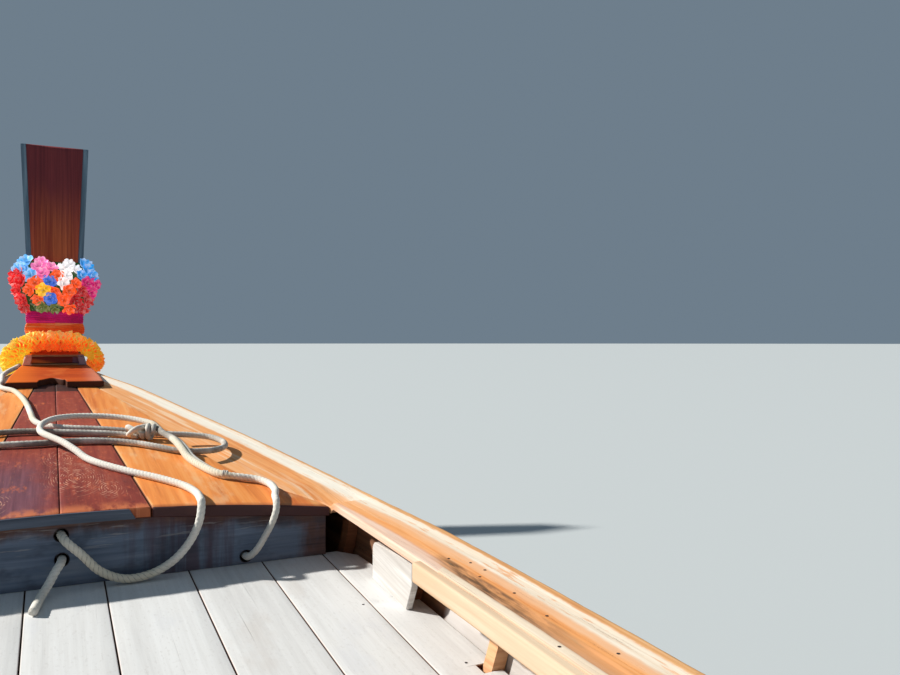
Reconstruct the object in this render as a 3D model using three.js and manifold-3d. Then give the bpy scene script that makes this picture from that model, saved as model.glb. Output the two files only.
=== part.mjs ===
// A wooden longtail boat, afloat, in millimetres.
// X runs forward along the boat, Y to port and Z up. The origin is at the waterline amidships.
// The hull is carvel planked: four strakes a side on sawn frames, a raked stem that goes on up
// into a tall prow, and a narrow transom. The engine stands on a swivel at the stern and drives
// its propeller through one long straight tail.
import * as THREE from 'three';
import { mergeVertices } from 'three/addons/utils/BufferGeometryUtils.js';
import Module from 'manifold-3d';

const wasm = await Module();
wasm.setup();

// Driving dimensions
const GAP = 0.3;                  // running gap left between pieces that touch
const PLANK = 24;                 // thickness of the hull planking
const STEM_HALF = 45;             // half thickness of keel and stem at the rabbet
const STEM_NOSE_HALF = 18;        // half thickness of keel and stem at their outer edge
const STEM_DEPTH = 90;            // depth of keel and stem outside the rabbet
const FOREFOOT_X = 2600;          // where the keel turns up into the stem
const FOREFOOT_Z = -250;
const SHEER_BOW_X = 5080;         // where the sheer meets the stem
const SHEER_BOW_Z = 1112;
const STERN_X = -5360;            // transom at the waterline
const STERN_RAKE = 0.22;          // transom's lean aft, per mm of height
const CAP_THICK = 34;             // gunwale cap, at its outer edge
const CAP_OVERHANG = 25;          // cap's outer edge beyond the planking
const DECK_AFT_X = 1885;          // aft edge of the foredeck
const DECK_FORE_X = 4420;
const DECK_KINK_X = 4209;         // where the deck rises more steeply
const DECK_THICK = 34;
const DECK_CAMBER = 75e-6;        // drop of the deck, per mm squared off the centreline
const BULKHEAD_X = 1895;          // aft face of the bulkhead under the foredeck
const BULKHEAD_THICK = 28;
const FLOOR_THICK = 24;
const FLOOR_END_X = -3900;        // where floor and load space end at the stern deck
const STERN_DECK_Z = 520;         // top of the stern deck
const FRAME_STEP = 520;
const FRAME_FIRST_X = -4320;
const FRAME_COUNT = 14;
const FRAME_WIDE = 45;
const FRAME_DEEP = 38;
const FRAME_LIFT = 2.5;           // room between the frames and the planking's flats
const ROPE_R = 13.5;
const PIVOT_X = -5200;            // engine's swivel axis
const PIVOT_Z = 1000;             // height of the tilt pin
const DRIVE_SLOPE = THREE.MathUtils.degToRad(18);
const TAIL_LENGTH = 3950;         // tilt pin to propeller, along the drive

// Sheer: x, half breadth to the cap's outer edge, half breadth to its inner edge, cap's top
const SHEER = [
  [-5560, 440, 250, 668], [-4800, 690, 480, 622], [-4000, 880, 670, 592], [-3000, 1030, 820, 572],
  [-2000, 1105, 895, 567], [-1000, 1140, 925, 580], [0, 1150, 935, 606], [700, 1147, 935, 634],
  [1300, 1135, 928, 658], [1860, 1092, 915, 682], [2190, 1045, 720, 710], [2500, 990, 608, 740],
  [3030, 865, 500, 805], [3600, 690, 395, 888], [4250, 455, 230, 1000], [4600, 288, 160, 1060],
  [4850, 174, 110, 1105], [5090, 70, 48, 1143],
];
// Keel: x, underside of the planking where it meets the keel
const KEEL = [
  [-5360, -55], [-4800, -130], [-4000, -200], [-3000, -252], [-2000, -276], [-500, -285],
  [1000, -280], [2000, -266], [2600, -250],
];
// Sections: share of the length from the stern, fullness of the bilge, roundness of the floor
const FULLNESS = [
  [0, 2.0, 1.45], [0.3, 2.2, 1.6], [0.6, 2.3, 1.6], [0.75, 2.1, 1.5], [0.9, 1.5, 1.2], [1, 1.2, 1.05],
];
// Strakes: name, girth share at the lower and at the upper edge
const STRAKES = [['garboard', 0, 0.3], ['bottom', 0.3, 0.55], ['bilge', 0.55, 0.78], ['sheer', 0.78, 1]];
// Seams of the floor, distance off the centreline to port
const FLOOR_SEAMS = [1060, 880, 630, 370, 100, -134, -404, -659, -887, -1060];
const SIDES = [['port', 1], ['starboard', -1]];

const WOOD = {
  varnish: 0xc4622a, redwood: 0x6b2a22, pale: 0xe3c193, grey: 0x8f8f92, white: 0xd8d4cc, hull: 0x7b4a2d,
};
const wood = (color) => new THREE.MeshStandardMaterial({ color, roughness: 0.6, metalness: 0 });
const metal = (color, roughness = 0.4) => (
  new THREE.MeshStandardMaterial({ color, roughness, metalness: 0.8 }));
const cloth = (color) => new THREE.MeshStandardMaterial({ color, roughness: 0.9, metalness: 0 });

const boat = new THREE.Group();

function add(name, geometry, material, parent = boat) {
  const mesh = new THREE.Mesh(geometry, material);
  mesh.name = name;
  parent.add(mesh);
  return mesh;
}

// Curves through tables

// Value of one column at x, by a cubic that never overshoots the table
function along(table, x, column) {
  const last = table.length - 1;
  let i = 0;
  while (i < last - 1 && x > table[i + 1][0]) i += 1;
  const slope = (k) => (table[k + 1][column] - table[k][column]) / (table[k + 1][0] - table[k][0]);
  const tangent = (k) => {
    if (k === 0) return slope(0);
    if (k === last) return slope(last - 1);
    const [a, b] = [slope(k - 1), slope(k)];
    return a * b <= 0 ? 0 : (2 * a * b) / (a + b);
  };
  const h = table[i + 1][0] - table[i][0];
  const t = THREE.MathUtils.clamp((x - table[i][0]) / h, 0, 1);
  const [t2, t3] = [t * t, t * t * t];
  return (2 * t3 - 3 * t2 + 1) * table[i][column] + (t3 - 2 * t2 + t) * h * tangent(i)
    + (3 * t2 - 2 * t3) * table[i + 1][column] + (t3 - t2) * h * tangent(i + 1);
}
const capOuter = (x) => along(SHEER, x, 1);
const capInner = (x) => along(SHEER, x, 2);
const capTop = (x) => along(SHEER, x, 3);

// Rabbet line of the stem: x at a height z between forefoot and sheer
function stemX(z) {
  const v = THREE.MathUtils.clamp((z - FOREFOOT_Z) / (SHEER_BOW_Z - FOREFOOT_Z), 0, 1);
  const rake = 408;
  return FOREFOOT_X + rake * v + (SHEER_BOW_X - FOREFOOT_X - rake) * (1 - (1 - v) ** 3);
}

// Height on one girth line: s is 0 at the keel and 1 at the sheer, t is 0 at the stern, 1 at the stem
function girthHeight(s, t) {
  const keelZ = along(KEEL, THREE.MathUtils.lerp(STERN_X, FOREFOOT_X, t), 1);
  const sheerX = THREE.MathUtils.lerp(STERN_X - STERN_RAKE * capTop(STERN_X), SHEER_BOW_X, t);
  const sheerZ = capTop(sheerX) - CAP_THICK - 1.1;
  const share = THREE.MathUtils.lerp(s ** 1.8, s ** 1.3, t ** 3);
  return [keelZ + (sheerZ - keelZ) * share, share, capOuter(sheerX) - CAP_OVERHANG];
}

// Outside of the planking to port at girth s and length t
function hullPoint(s, t) {
  const [z, share, breadth] = girthHeight(s, t);
  const sternX = STERN_X - STERN_RAKE * girthHeight(s, 0)[0];
  const x = THREE.MathUtils.lerp(sternX, stemX(girthHeight(s, 1)[0]), t);
  const [full, round] = [along(FULLNESS, t, 1), along(FULLNESS, t, 2)];
  const swell = (1 - (1 - share) ** full) ** (1 / round);
  return new THREE.Vector3(x, STEM_HALF + (breadth - STEM_HALF) * swell, z);
}

// Point at a depth inside the planking's outer face
function insideHull(s, t, depth) {
  const step = 0.004;
  const across = hullPoint(Math.min(s + step, 1), t).sub(hullPoint(Math.max(s - step, 0), t));
  const lengthways = hullPoint(s, Math.min(t + step, 1)).sub(hullPoint(s, Math.max(t - step, 0)));
  const normal = across.cross(lengthways).normalize();
  const point = hullPoint(s, t).addScaledVector(normal, depth * (normal.y > 0 ? -1 : 1));
  point.z = Math.min(point.z, girthHeight(1, t)[0] - 3);
  return point;
}

// Girth line s at a depth inside the planking, as the planking's flats follow it
const lines = new Map();
function girthLine(s, depth) {
  const key = `${s} ${depth}`;
  if (!lines.has(key)) lines.set(key, HULL_ROWS.map((t) => insideHull(s, t, depth)));
  return lines.get(key);
}

// Where that line crosses the plane x
function frameLine(s, x, depth) {
  const line = girthLine(s, depth);
  let i = 0;
  while (i < line.length - 2 && line[i + 1].x < x) i += 1;
  return line[i].clone().lerp(line[i + 1], (x - line[i].x) / (line[i + 1].x - line[i].x));
}

// Half breadth inside the planking, at a depth, in the plane x at height z
function innerBreadth(x, z, depth) {
  let [low, high] = [0, 1];
  for (let i = 0; i < 12; i += 1) {
    const s = (low + high) / 2;
    if (frameLine(s, x, depth).z > z) high = s; else low = s;
  }
  return frameLine(low, x, depth).y;
}

const HULL_ROWS = Array.from({ length: 27 }, (_, i) => 1 - (1 - i / 26) ** 1.25);
const SHEER_XS = HULL_ROWS.map((t) => hullPoint(1, t).x);

// Deck and floor, both straight lines along the boat that bend once
const STEP_X = 1889;              // where their heights are taken, at the step from floor to deck
const [DECK_STEP_Z, DECK_SLOPE, DECK_KINK_SLOPE] = [721, 0.12, 0.05];
const [FLOOR_STEP_Z, FLOOR_SLOPE, FLOOR_KINK_X, FLOOR_AFT_SLOPE] = [480, 0.076, -1000, 0.02];
const deckCrown = (x) => (
  DECK_STEP_Z + DECK_SLOPE * (x - STEP_X) + DECK_KINK_SLOPE * Math.max(0, x - DECK_KINK_X));
const deckTop = (x, y) => deckCrown(x) - DECK_CAMBER * y * y;
const floorTop = (x) => (FLOOR_STEP_Z - FLOOR_SLOPE * (STEP_X - Math.max(x, FLOOR_KINK_X))
  + FLOOR_AFT_SLOPE * Math.min(0, x - FLOOR_KINK_X));

// Solids

// One closed body from vertices and faces, turned so that its faces point out
function solid(vertices, faces) {
  const geometry = new THREE.BufferGeometry();
  let volume = 0;
  const at = (i) => new THREE.Vector3(...vertices[i]);
  for (let i = 0; i < faces.length; i += 3) {
    volume += at(faces[i]).dot(at(faces[i + 1]).cross(at(faces[i + 2])));
  }
  const index = volume < 0 ? faces.slice().reverse() : faces;
  geometry.setAttribute('position', new THREE.Float32BufferAttribute(vertices.flat(), 3));
  geometry.setIndex(index);
  geometry.computeVertexNormals();
  return geometry;
}

// Body between two grids of points of the same size, joined round their edges
function slab(outer, inner) {
  const [rows, columns] = [outer.length, outer[0].length];
  const vertices = [...outer.flat(), ...inner.flat()].map((p) => [p.x, p.y, p.z]);
  const id = (side, i, j) => (side * rows + i) * columns + j;
  const faces = [];
  const quad = (a, b, c, d) => faces.push(a, b, c, a, c, d);
  for (let i = 0; i < rows - 1; i += 1) {
    for (let j = 0; j < columns - 1; j += 1) {
      quad(id(0, i, j), id(0, i, j + 1), id(0, i + 1, j + 1), id(0, i + 1, j));
      faces.push(id(1, i, j), id(1, i + 1, j + 1), id(1, i, j + 1));
      faces.push(id(1, i, j), id(1, i + 1, j), id(1, i + 1, j + 1));
    }
    quad(id(0, i, 0), id(0, i + 1, 0), id(1, i + 1, 0), id(1, i, 0));
    const k = columns - 1;
    quad(id(0, i, k), id(1, i, k), id(1, i + 1, k), id(0, i + 1, k));
  }
  for (let j = 0; j < columns - 1; j += 1) {
    quad(id(0, 0, j + 1), id(0, 0, j), id(1, 0, j), id(1, 0, j + 1));
    const k = rows - 1;
    quad(id(0, k, j), id(0, k, j + 1), id(1, k, j + 1), id(1, k, j));
  }
  return solid(vertices, faces);
}

// Body swept through closed sections of the same size; its ends meet if closed
function loft(sections, closed = false) {
  const [rows, columns] = [sections.length, sections[0].length];
  const vertices = sections.flat().map((p) => [p.x, p.y, p.z]);
  const faces = [];
  for (let i = 0; i < (closed ? rows : rows - 1); i += 1) {
    for (let j = 0; j < columns; j += 1) {
      const [a, b] = [i * columns + j, i * columns + ((j + 1) % columns)];
      const next = ((i + 1) % rows) * columns;
      faces.push(a, b, next + (b % columns), a, next + (b % columns), next + j);
    }
  }
  if (!closed) {
    const end = (rows - 1) * columns;
    for (let j = 1; j < columns - 1; j += 1) faces.push(0, j + 1, j, end, end + j, end + j + 1);
  }
  return solid(vertices, faces);
}

function box(x0, x1, y0, y1, z0, z1) {
  const geometry = new THREE.BoxGeometry(x1 - x0, y1 - y0, z1 - z0);
  return geometry.translate((x0 + x1) / 2, (y0 + y1) / 2, (z0 + z1) / 2);
}

// Cylinder of radius r from one point to another
function rod(from, to, r, sides = 12, rEnd = r) {
  const [a, b] = [new THREE.Vector3(...from), new THREE.Vector3(...to)];
  const geometry = new THREE.CylinderGeometry(rEnd, r, a.distanceTo(b), sides);
  const axis = b.clone().sub(a).normalize();
  const turn = new THREE.Quaternion().setFromUnitVectors(new THREE.Vector3(0, 1, 0), axis);
  return geometry.applyQuaternion(turn).translate(...a.add(b).multiplyScalar(0.5).toArray());
}

function circle(r, sides) {
  const shape = new THREE.Shape();
  for (let i = 0; i < sides; i += 1) {
    const angle = (2 * Math.PI * i) / sides;
    const point = [r * Math.cos(angle), r * Math.sin(angle)];
    if (i === 0) shape.moveTo(...point); else shape.lineTo(...point);
  }
  shape.closePath();
  return shape;
}

// Tube along a smooth curve through points
function tube(points, r, steps, sides = 8) {
  const route = points.map((p) => new THREE.Vector3(...p));
  const extrudePath = new THREE.CatmullRomCurve3(route, false, 'centripetal');
  return new THREE.ExtrudeGeometry(circle(r, sides), { steps, bevelEnabled: false, extrudePath });
}

function toManifold(geometry) {
  const bare = geometry.clone();
  bare.deleteAttribute('normal');
  bare.deleteAttribute('uv');
  const merged = mergeVertices(bare, 1e-3);
  return new wasm.Manifold(new wasm.Mesh({
    numProp: 3,
    vertProperties: new Float32Array(merged.attributes.position.array),
    triVerts: new Uint32Array(merged.index.array),
  }));
}
function fromManifold(manifold) {
  const mesh = manifold.getMesh();
  const geometry = new THREE.BufferGeometry();
  geometry.setAttribute('position', new THREE.Float32BufferAttribute(mesh.vertProperties, 3));
  geometry.setIndex([...mesh.triVerts]);
  geometry.computeVertexNormals();
  return geometry;
}
const join = (list) => fromManifold(list.map(toManifold).reduce((whole, next) => whole.add(next)));
const cut = (body, tools) => fromManifold(
  tools.map(toManifold).reduce((left, tool) => left.subtract(tool), toManifold(body)));
const steps = (count, from, to) => (
  Array.from({ length: count + 1 }, (_, i) => from + ((to - from) * i) / count));
const mirrored = (p, side) => new THREE.Vector3(p.x, p.y * side, p.z);

// Hull

// Girth lines that the strakes' corners follow, and those of one strake
const SPANS = 2;
const GIRTHS = [...STRAKES.flatMap(([, low, high]) => steps(SPANS, low, high).slice(0, SPANS)), 1];
function strake(low, high, side) {
  const seam = 0.0004;
  const girths = steps(SPANS, low + seam, high === 1 ? 1 : high - seam);
  const grid = (depth) => HULL_ROWS.map((t) => girths.map((s) => (
    mirrored(depth ? insideHull(s, t, depth) : hullPoint(s, t), side))));
  return slab(grid(0), grid(PLANK));
}
SIDES.forEach(([word, side]) => STRAKES.forEach(([name, low, high]) => {
  add(`strake_${name}_${word}`, strake(low, high, side), wood(WOOD.hull));
}));

// Keel timber, then the stem, both tapered towards their outer edge
function backbone(profile) {
  const half = STEM_HALF - GAP;
  return loft(profile.map(([x, z, nx, nz, deep]) => [
    new THREE.Vector3(x, half, z), new THREE.Vector3(x, -half, z),
    new THREE.Vector3(x + nx * deep, -STEM_NOSE_HALF, z + nz * deep),
    new THREE.Vector3(x + nx * deep, STEM_NOSE_HALF, z + nz * deep),
  ]));
}
function keel() {
  return loft(steps(16, STERN_X + 20, FOREFOOT_X - 40).map((x) => {
    const z = along(KEEL, x, 1) - 3 * GAP;
    return [[STEM_HALF - GAP, 0], [GAP - STEM_HALF, 0], [-32, -62], [32, -62]]
      .map(([y, rise]) => new THREE.Vector3(x, y, z + rise));
  }));
}
add('keel', keel(), wood(WOOD.hull));

// Prow above the sheer: height, aft face, half breadth over the cheeks, rabbet
const PROW = [[1172, 4872, 178, 5102], [1450, 4925, 158, 5172], [2670, 5370, 220, 5462]];
const PROW_LEVELS = [...steps(3, 1172, 1450), ...steps(14, 1450, 2670).slice(1)];
function prowAt(z) {
  const k = z <= PROW[1][0] ? 0 : 1;
  const t = (z - PROW[k][0]) / (PROW[k + 1][0] - PROW[k][0]);
  return [1, 2, 3].map((c) => THREE.MathUtils.lerp(PROW[k][c], PROW[k + 1][c], t));
}
function stem() {
  const low = GIRTHS.map((s) => girthHeight(s, 1)[0]);
  const profile = low.map((z) => {
    const x = stemX(z);
    const [above, below] = [stemX(z + 8), stemX(z - 8)];
    const slope = new THREE.Vector2(16, below - above).normalize();
    return [x + GAP * 2 * slope.x, z + GAP * 2 * slope.y, slope.x, slope.y, STEM_DEPTH];
  });
  PROW_LEVELS.forEach((z) => profile.push([prowAt(z)[2] + GAP, z, 1, 0, STEM_DEPTH]));
  return backbone(profile);
}
add('stem_post', stem(), wood(WOOD.redwood));

const CHEEK = 34;                 // breadth of a cheek's edge, seen from aft
function cheek(side) {
  const grid = (inset) => PROW_LEVELS.map((z) => {
    const [aft, half, rabbet] = prowAt(z);
    return [new THREE.Vector3(aft, (half - inset) * side, z),
      new THREE.Vector3(rabbet - GAP, (STEM_HALF - inset) * side, z)];
  });
  return slab(grid(0), grid(CHEEK));
}
SIDES.forEach(([word, side]) => add(`prow_cheek_${word}`, cheek(side), wood(0x7f99a8)));

// Board that fills the prow between the cheeks
function prowBoard() {
  const inset = CHEEK + 2 * GAP;
  const face = (side) => PROW_LEVELS.map((z) => {
    const [aft, half, rabbet] = prowAt(z);
    return [new THREE.Vector3(aft, (half - inset) * side, z),
      new THREE.Vector3(rabbet - GAP, (STEM_HALF - inset) * side, z)];
  });
  return slab(face(1), face(-1));
}
add('prow_board', prowBoard(), wood(WOOD.redwood));

const TRANSOM_AFT = 4;            // its two faces, ahead of the planking's end
const TRANSOM_FORE = 46;
function transom() {
  const girths = steps(10, 0.02, 1);
  const clear = 3;
  const face = (inset, side) => girths.map((s) => {
    const point = insideHull(s, 0, PLANK + clear);
    const z = Math.min(point.z, girthHeight(1, 0)[0] - clear);
    return new THREE.Vector3(STERN_X - STERN_RAKE * z + inset, point.y * side, z);
  });
  return slab([face(TRANSOM_AFT, 1), face(TRANSOM_AFT, -1)],
    [face(TRANSOM_FORE, 1), face(TRANSOM_FORE, -1)]);
}
add('transom', transom(), wood(WOOD.varnish));

// Frames: each a rib round the inside of the planking and a beam that carries the floor
const FLOOR_BEAM = 60;            // depth of that beam
function frames() {
  const list = [];
  const lift = PLANK + FRAME_LIFT;
  for (let i = 0; i < FRAME_COUNT; i += 1) {
    const x0 = FRAME_FIRST_X + i * FRAME_STEP - FRAME_WIDE / 2;
    const underDeck = x0 > DECK_AFT_X - 60;
    const flare = underDeck ? 26 : 9;   // more room forward, where the planking's flats twist
    const girths = [...GIRTHS.slice(underDeck ? 1 : 0, -1), 0.985];
    const rib = (x, depth) => {
      const half = girths.map((s) => frameLine(s, x, depth + (x0 > 0 ? flare * (1 - s) : 0)));
      return [...half.map((p) => mirrored(p, -1)).reverse(), ...half];
    };
    list.push(slab([rib(x0, lift), rib(x0 + FRAME_WIDE, lift)],
      [rib(x0, lift + FRAME_DEEP), rib(x0 + FRAME_WIDE, lift + FRAME_DEEP)]));
    if (underDeck) {
      const seat = frameLine(girths[0], x0, lift + flare).z + FRAME_DEEP / 2;
      list.push(box(x0 + 2, x0 + FRAME_WIDE - 2, -28, 28, along(KEEL, x0, 1) + 60, seat));
    }
    const top = Math.min(floorTop(x0), floorTop(x0 + FRAME_WIDE)) - FLOOR_THICK - GAP;
    if (x0 < BULKHEAD_X) {
      const ends = [x0, x0 + FRAME_WIDE];
      const half = Math.min(...ends.map((x) => innerBreadth(x, top - FLOOR_BEAM - 2, PLANK + 12)));
      list.push(box(x0 + 1, x0 + FRAME_WIDE - 1, -half, half, top - FLOOR_BEAM, top));
    }
  }
  const end = FRAME_FIRST_X + (FRAME_COUNT - 1) * FRAME_STEP;
  const keelson = [[30, 52], [-30, 52], [-30, 110], [30, 110]];   // y, height over the planking's foot
  list.push(loft(steps(FRAME_COUNT - 1, FRAME_FIRST_X, end).map((x) => (
    keelson.map(([y, rise]) => new THREE.Vector3(x, y, along(KEEL, x, 1) + rise))))));
  return join(list);
}
add('frames', frames(), wood(WOOD.hull));

const onDeck = (x) => x > DECK_AFT_X + 40 && x < DECK_FORE_X - 40 && Math.abs(x - DECK_KINK_X) > 60;
const DECK_STATIONS = [...SHEER_XS.filter(onDeck), DECK_AFT_X, DECK_KINK_X, DECK_FORE_X]
  .sort((a, b) => a - b);

// Gunwale cap: a board along the sheer that widens into the covering board of the foredeck
function cap(side) {
  const aft = SHEER_XS.filter((x) => x < DECK_AFT_X - 60);
  const fore = SHEER_XS.filter((x) => x > DECK_FORE_X + 40 && x < SHEER_BOW_X - 60);
  const xs = [...aft, DECK_AFT_X - 25, ...DECK_STATIONS, ...fore, SHEER_BOW_X - 20];
  const innerThick = CAP_THICK - 10;
  const grid = (under) => xs.map((x) => {
    const [outer, inner, top] = [capOuter(x), capInner(x), capTop(x)];
    const innerTop = Math.min(x < DECK_AFT_X ? top - 6 : deckTop(x, inner), top);
    const middleTop = (top + innerTop) / 2;
    const underside = [top - CAP_THICK, top - CAP_THICK, innerTop - innerThick];
    const zs = under ? underside : [top, middleTop, innerTop];
    return [outer, (outer + inner) / 2, inner].map((y, i) => new THREE.Vector3(x, y * side, zs[i]));
  });
  return slab(grid(false), grid(true));
}
SIDES.forEach(([word, side]) => add(`gunwale_cap_${word}`, cap(side), wood(WOOD.varnish)));

// Ledge: a plank on edge, nailed along the cap's inner edge and level with its top
const LEDGE_AFT_X = -3880;
const LEDGE_FORE_X = 1120;
const LEDGE_THICK = 26;
const LEDGE_TOP = 8;              // its top and its foot, down from the cap's top
const LEDGE_FOOT = 68;
// Half breadth to the cap's inner edge, along the flats between the cap's stations
function capFlat(x) {
  const next = SHEER_XS.findIndex((station) => station >= x);
  const [aft, fore] = [SHEER_XS[next - 1], SHEER_XS[next]];
  return THREE.MathUtils.mapLinear(x, aft, fore, capInner(aft), capInner(fore));
}
function ledge(side) {
  const between = SHEER_XS.filter((x) => x > LEDGE_AFT_X + 40 && x < LEDGE_FORE_X - 40);
  const grid = (inset) => [LEDGE_AFT_X, ...between, LEDGE_FORE_X].map((x) => (
    [LEDGE_TOP, LEDGE_FOOT].map((down) => (
      new THREE.Vector3(x, (capFlat(x) - inset) * side, capTop(x) - down)))));
  return slab(grid(GAP), grid(LEDGE_THICK));
}
SIDES.forEach(([word, side]) => add(`ledge_plank_${word}`, ledge(side), wood(WOOD.pale)));

// Short board that stands on the floor, ahead of the ledge
const SIDE_BOARD_THICK = 22;
const SIDE_BOARD_OUTER = 992;     // its outer face, off the centreline
function sideBoard(side) {
  const shape = new THREE.Shape();
  const [aft, fore, top] = [1262, 1600, 588];
  shape.moveTo(aft + 45, floorTop(aft + 45) + 2);
  shape.lineTo(fore, floorTop(fore) + GAP);
  shape.lineTo(fore, top - 22);
  shape.quadraticCurveTo(fore, top, fore - 24, top);
  shape.lineTo(aft, top + 8);
  shape.lineTo(aft, 520);
  shape.closePath();
  const settings = { depth: SIDE_BOARD_THICK, bevelEnabled: false, curveSegments: 4 };
  const board = new THREE.ExtrudeGeometry(shape, settings).rotateX(Math.PI / 2);
  return board.translate(0, side > 0 ? SIDE_BOARD_OUTER : SIDE_BOARD_THICK - SIDE_BOARD_OUTER, 0);
}
SIDES.forEach(([word, side]) => add(`side_board_${word}`, sideBoard(side), wood(WOOD.white)));

// Foredeck

// Deck plank between two seams, each a function of x
function deckPlank(left, right, side) {
  const grid = (drop) => DECK_STATIONS.map((x) => steps(2, left(x), right(x)).map((y) => (
    new THREE.Vector3(x, y * side, deckTop(x, y) - drop))));
  return slab(grid(0), grid(DECK_THICK));
}
const SEAM_AT_AFT = 281;          // half breadth of the middle pair of deck planks at their aft end
const SEAM_TAPER = 0.071;
const middleSeam = (x) => SEAM_AT_AFT - SEAM_TAPER * (x - DECK_AFT_X);
SIDES.forEach(([word, side]) => {
  const middle = deckPlank(() => 1, (x) => middleSeam(x) - 1.5, side);
  const outer = deckPlank((x) => middleSeam(x) + 1.5, (x) => capInner(x) - 1.5, side);
  add(`foredeck_middle_${word}`, middle, wood(WOOD.redwood));
  add(`foredeck_side_${word}`, outer, wood(WOOD.varnish));
});

// Bulkhead under the deck's aft edge, with the three holes that ropes are led through
const ROPE_HOLES = [[-4, 648], [-6, 568], [-600, 509]];   // y, z
const HOLE_R = 21;
function bulkhead() {
  const half = 896;
  const ys = steps(10, -half, half);
  const grid = (x) => [0, 1].map((top) => ys.map((y) => new THREE.Vector3(
    x, y, top ? deckTop(DECK_AFT_X, y) - DECK_THICK - GAP - 0.4 : floorTop(x) + GAP + 1)));
  const panel = slab(grid(BULKHEAD_X), grid(BULKHEAD_X + BULKHEAD_THICK));
  return cut(panel, ROPE_HOLES.map(([y, z]) => (
    rod([BULKHEAD_X - 20, y, z], [BULKHEAD_X + BULKHEAD_THICK + 20, y, z], HOLE_R, 16))));
}
add('deck_bulkhead', bulkhead(), wood(WOOD.grey));

// Breasthook: a plate over the bow end of the deck, notched in its aft edge
const HOOK_THICK = 35;
function breasthook() {
  const ys = [-245, -150, -80, -45, 0, 45, 80, 150, 245];
  const notch = [0, 0, 12, 78, 100, 78, 12, 0, 0];
  const rows = [4248, 4400, 4600, 4800, 4865];
  const half = [262, 250, 220, 186, 176];
  const grid = (lift) => rows.map((x, i) => ys.map((y, j) => {
    const at = i === 0 ? x + notch[j] : x;
    const z = deckCrown(at) + GAP + lift;
    return new THREE.Vector3(at, (y / ys[8]) * half[i], z);
  }));
  return slab(grid(HOOK_THICK), grid(0));
}
add('breasthook', breasthook(), wood(WOOD.varnish));

// Collar: a low framed box on the breasthook, in front of the foot of the prow
function collar() {
  const [aft, fore] = [4728, 4858];
  const foot = deckCrown(aft) + 2 * GAP + HOOK_THICK;
  const section = (x, low) => [[-187, low], [187, low], [168, foot + 66], [-168, foot + 66]]
    .map(([y, z]) => new THREE.Vector3(x, y, z));
  const shell = loft([section(aft, foot), section(fore, deckCrown(fore) + 3 * GAP + HOOK_THICK)]);
  const panel = loft([[-142, 142, 128, -128], [-142, 142, 128, -128]].map((ys, i) => (
    [[ys[0], 10], [ys[1], 10], [ys[2], 54], [ys[3], 54]]
      .map(([y, up]) => new THREE.Vector3(aft - 20 + i * 62, y, foot + up)))));
  return cut(shell, [panel]);
}
add('prow_collar', collar(), wood(WOOD.varnish));

// Floor: nine planks, cut to the hull where it narrows
function floorPlank(port, starboard) {
  const edge = (x, y) => {
    const room = innerBreadth(x, floorTop(x) - FLOOR_THICK, PLANK + 4) - 4;
    return THREE.MathUtils.clamp(y, -room, room);
  };
  const xs = steps(10, FLOOR_END_X + 5, BULKHEAD_X + 20)
    .filter((x) => edge(x, port) - edge(x, starboard) > 30);
  const grid = (drop) => xs.map((x) => [edge(x, port - 1.5), edge(x, starboard + 1.5)]
    .map((y) => new THREE.Vector3(x, y, floorTop(x) - drop)));
  const plank = slab(grid(0), grid(FLOOR_THICK));
  const side = Math.sign(port + starboard);
  const reach = Math.max(Math.abs(port), Math.abs(starboard));
  const notches = [];
  for (let i = 0; i < FRAME_COUNT; i += 1) {
    const x = FRAME_FIRST_X + i * FRAME_STEP;
    const rib = innerBreadth(x, floorTop(x) - FLOOR_THICK, PLANK + FRAME_LIFT + FRAME_DEEP) - 10;
    if (rib < reach && x > xs[0] && x < BULKHEAD_X + FRAME_WIDE) {
      const [near, far] = side > 0 ? [rib, 1200] : [-1200, -rib];
      notches.push(box(x - FRAME_WIDE / 2 - 3, x + FRAME_WIDE / 2 + 3, near, far, 100, 600));
    }
  }
  return notches.length ? cut(plank, notches) : plank;
}
FLOOR_SEAMS.slice(1).forEach((seam, i) => {
  add(`floor_plank_${i + 1}`, floorPlank(FLOOR_SEAMS[i], seam), wood(WOOD.grey));
});

// Stern deck, with the riser that closes the load space behind it
const STERN_DECK_THICK = 30;
function sternDeck() {
  const aftEnd = STERN_X - STERN_RAKE * (STERN_DECK_Z - STERN_DECK_THICK) + TRANSOM_FORE + GAP;
  const foreEnd = FLOOR_END_X + 5 - GAP;
  const xs = steps(8, aftEnd, foreEnd);
  const room = (x, z) => innerBreadth(x, z, PLANK + FRAME_LIFT + FRAME_DEEP + 4);
  const grid = (z) => xs.map((x) => [1, -1].map((side) => (
    new THREE.Vector3(x, side * room(x, z), z))));
  const top = slab(grid(STERN_DECK_Z), grid(STERN_DECK_Z - STERN_DECK_THICK));
  const [aft, fore] = [foreEnd - 22, foreEnd];
  const foot = floorTop(fore) - FLOOR_THICK - 40;
  const riser = (x) => [foot, 340, STERN_DECK_Z - 10].map((z) => [room(x, z) - 3, 3 - room(x, z)]
    .map((y) => new THREE.Vector3(x, y, z)));
  return join([top, slab(riser(aft), riser(fore))]);
}
add('stern_deck', sternDeck(), wood(WOOD.grey));

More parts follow.
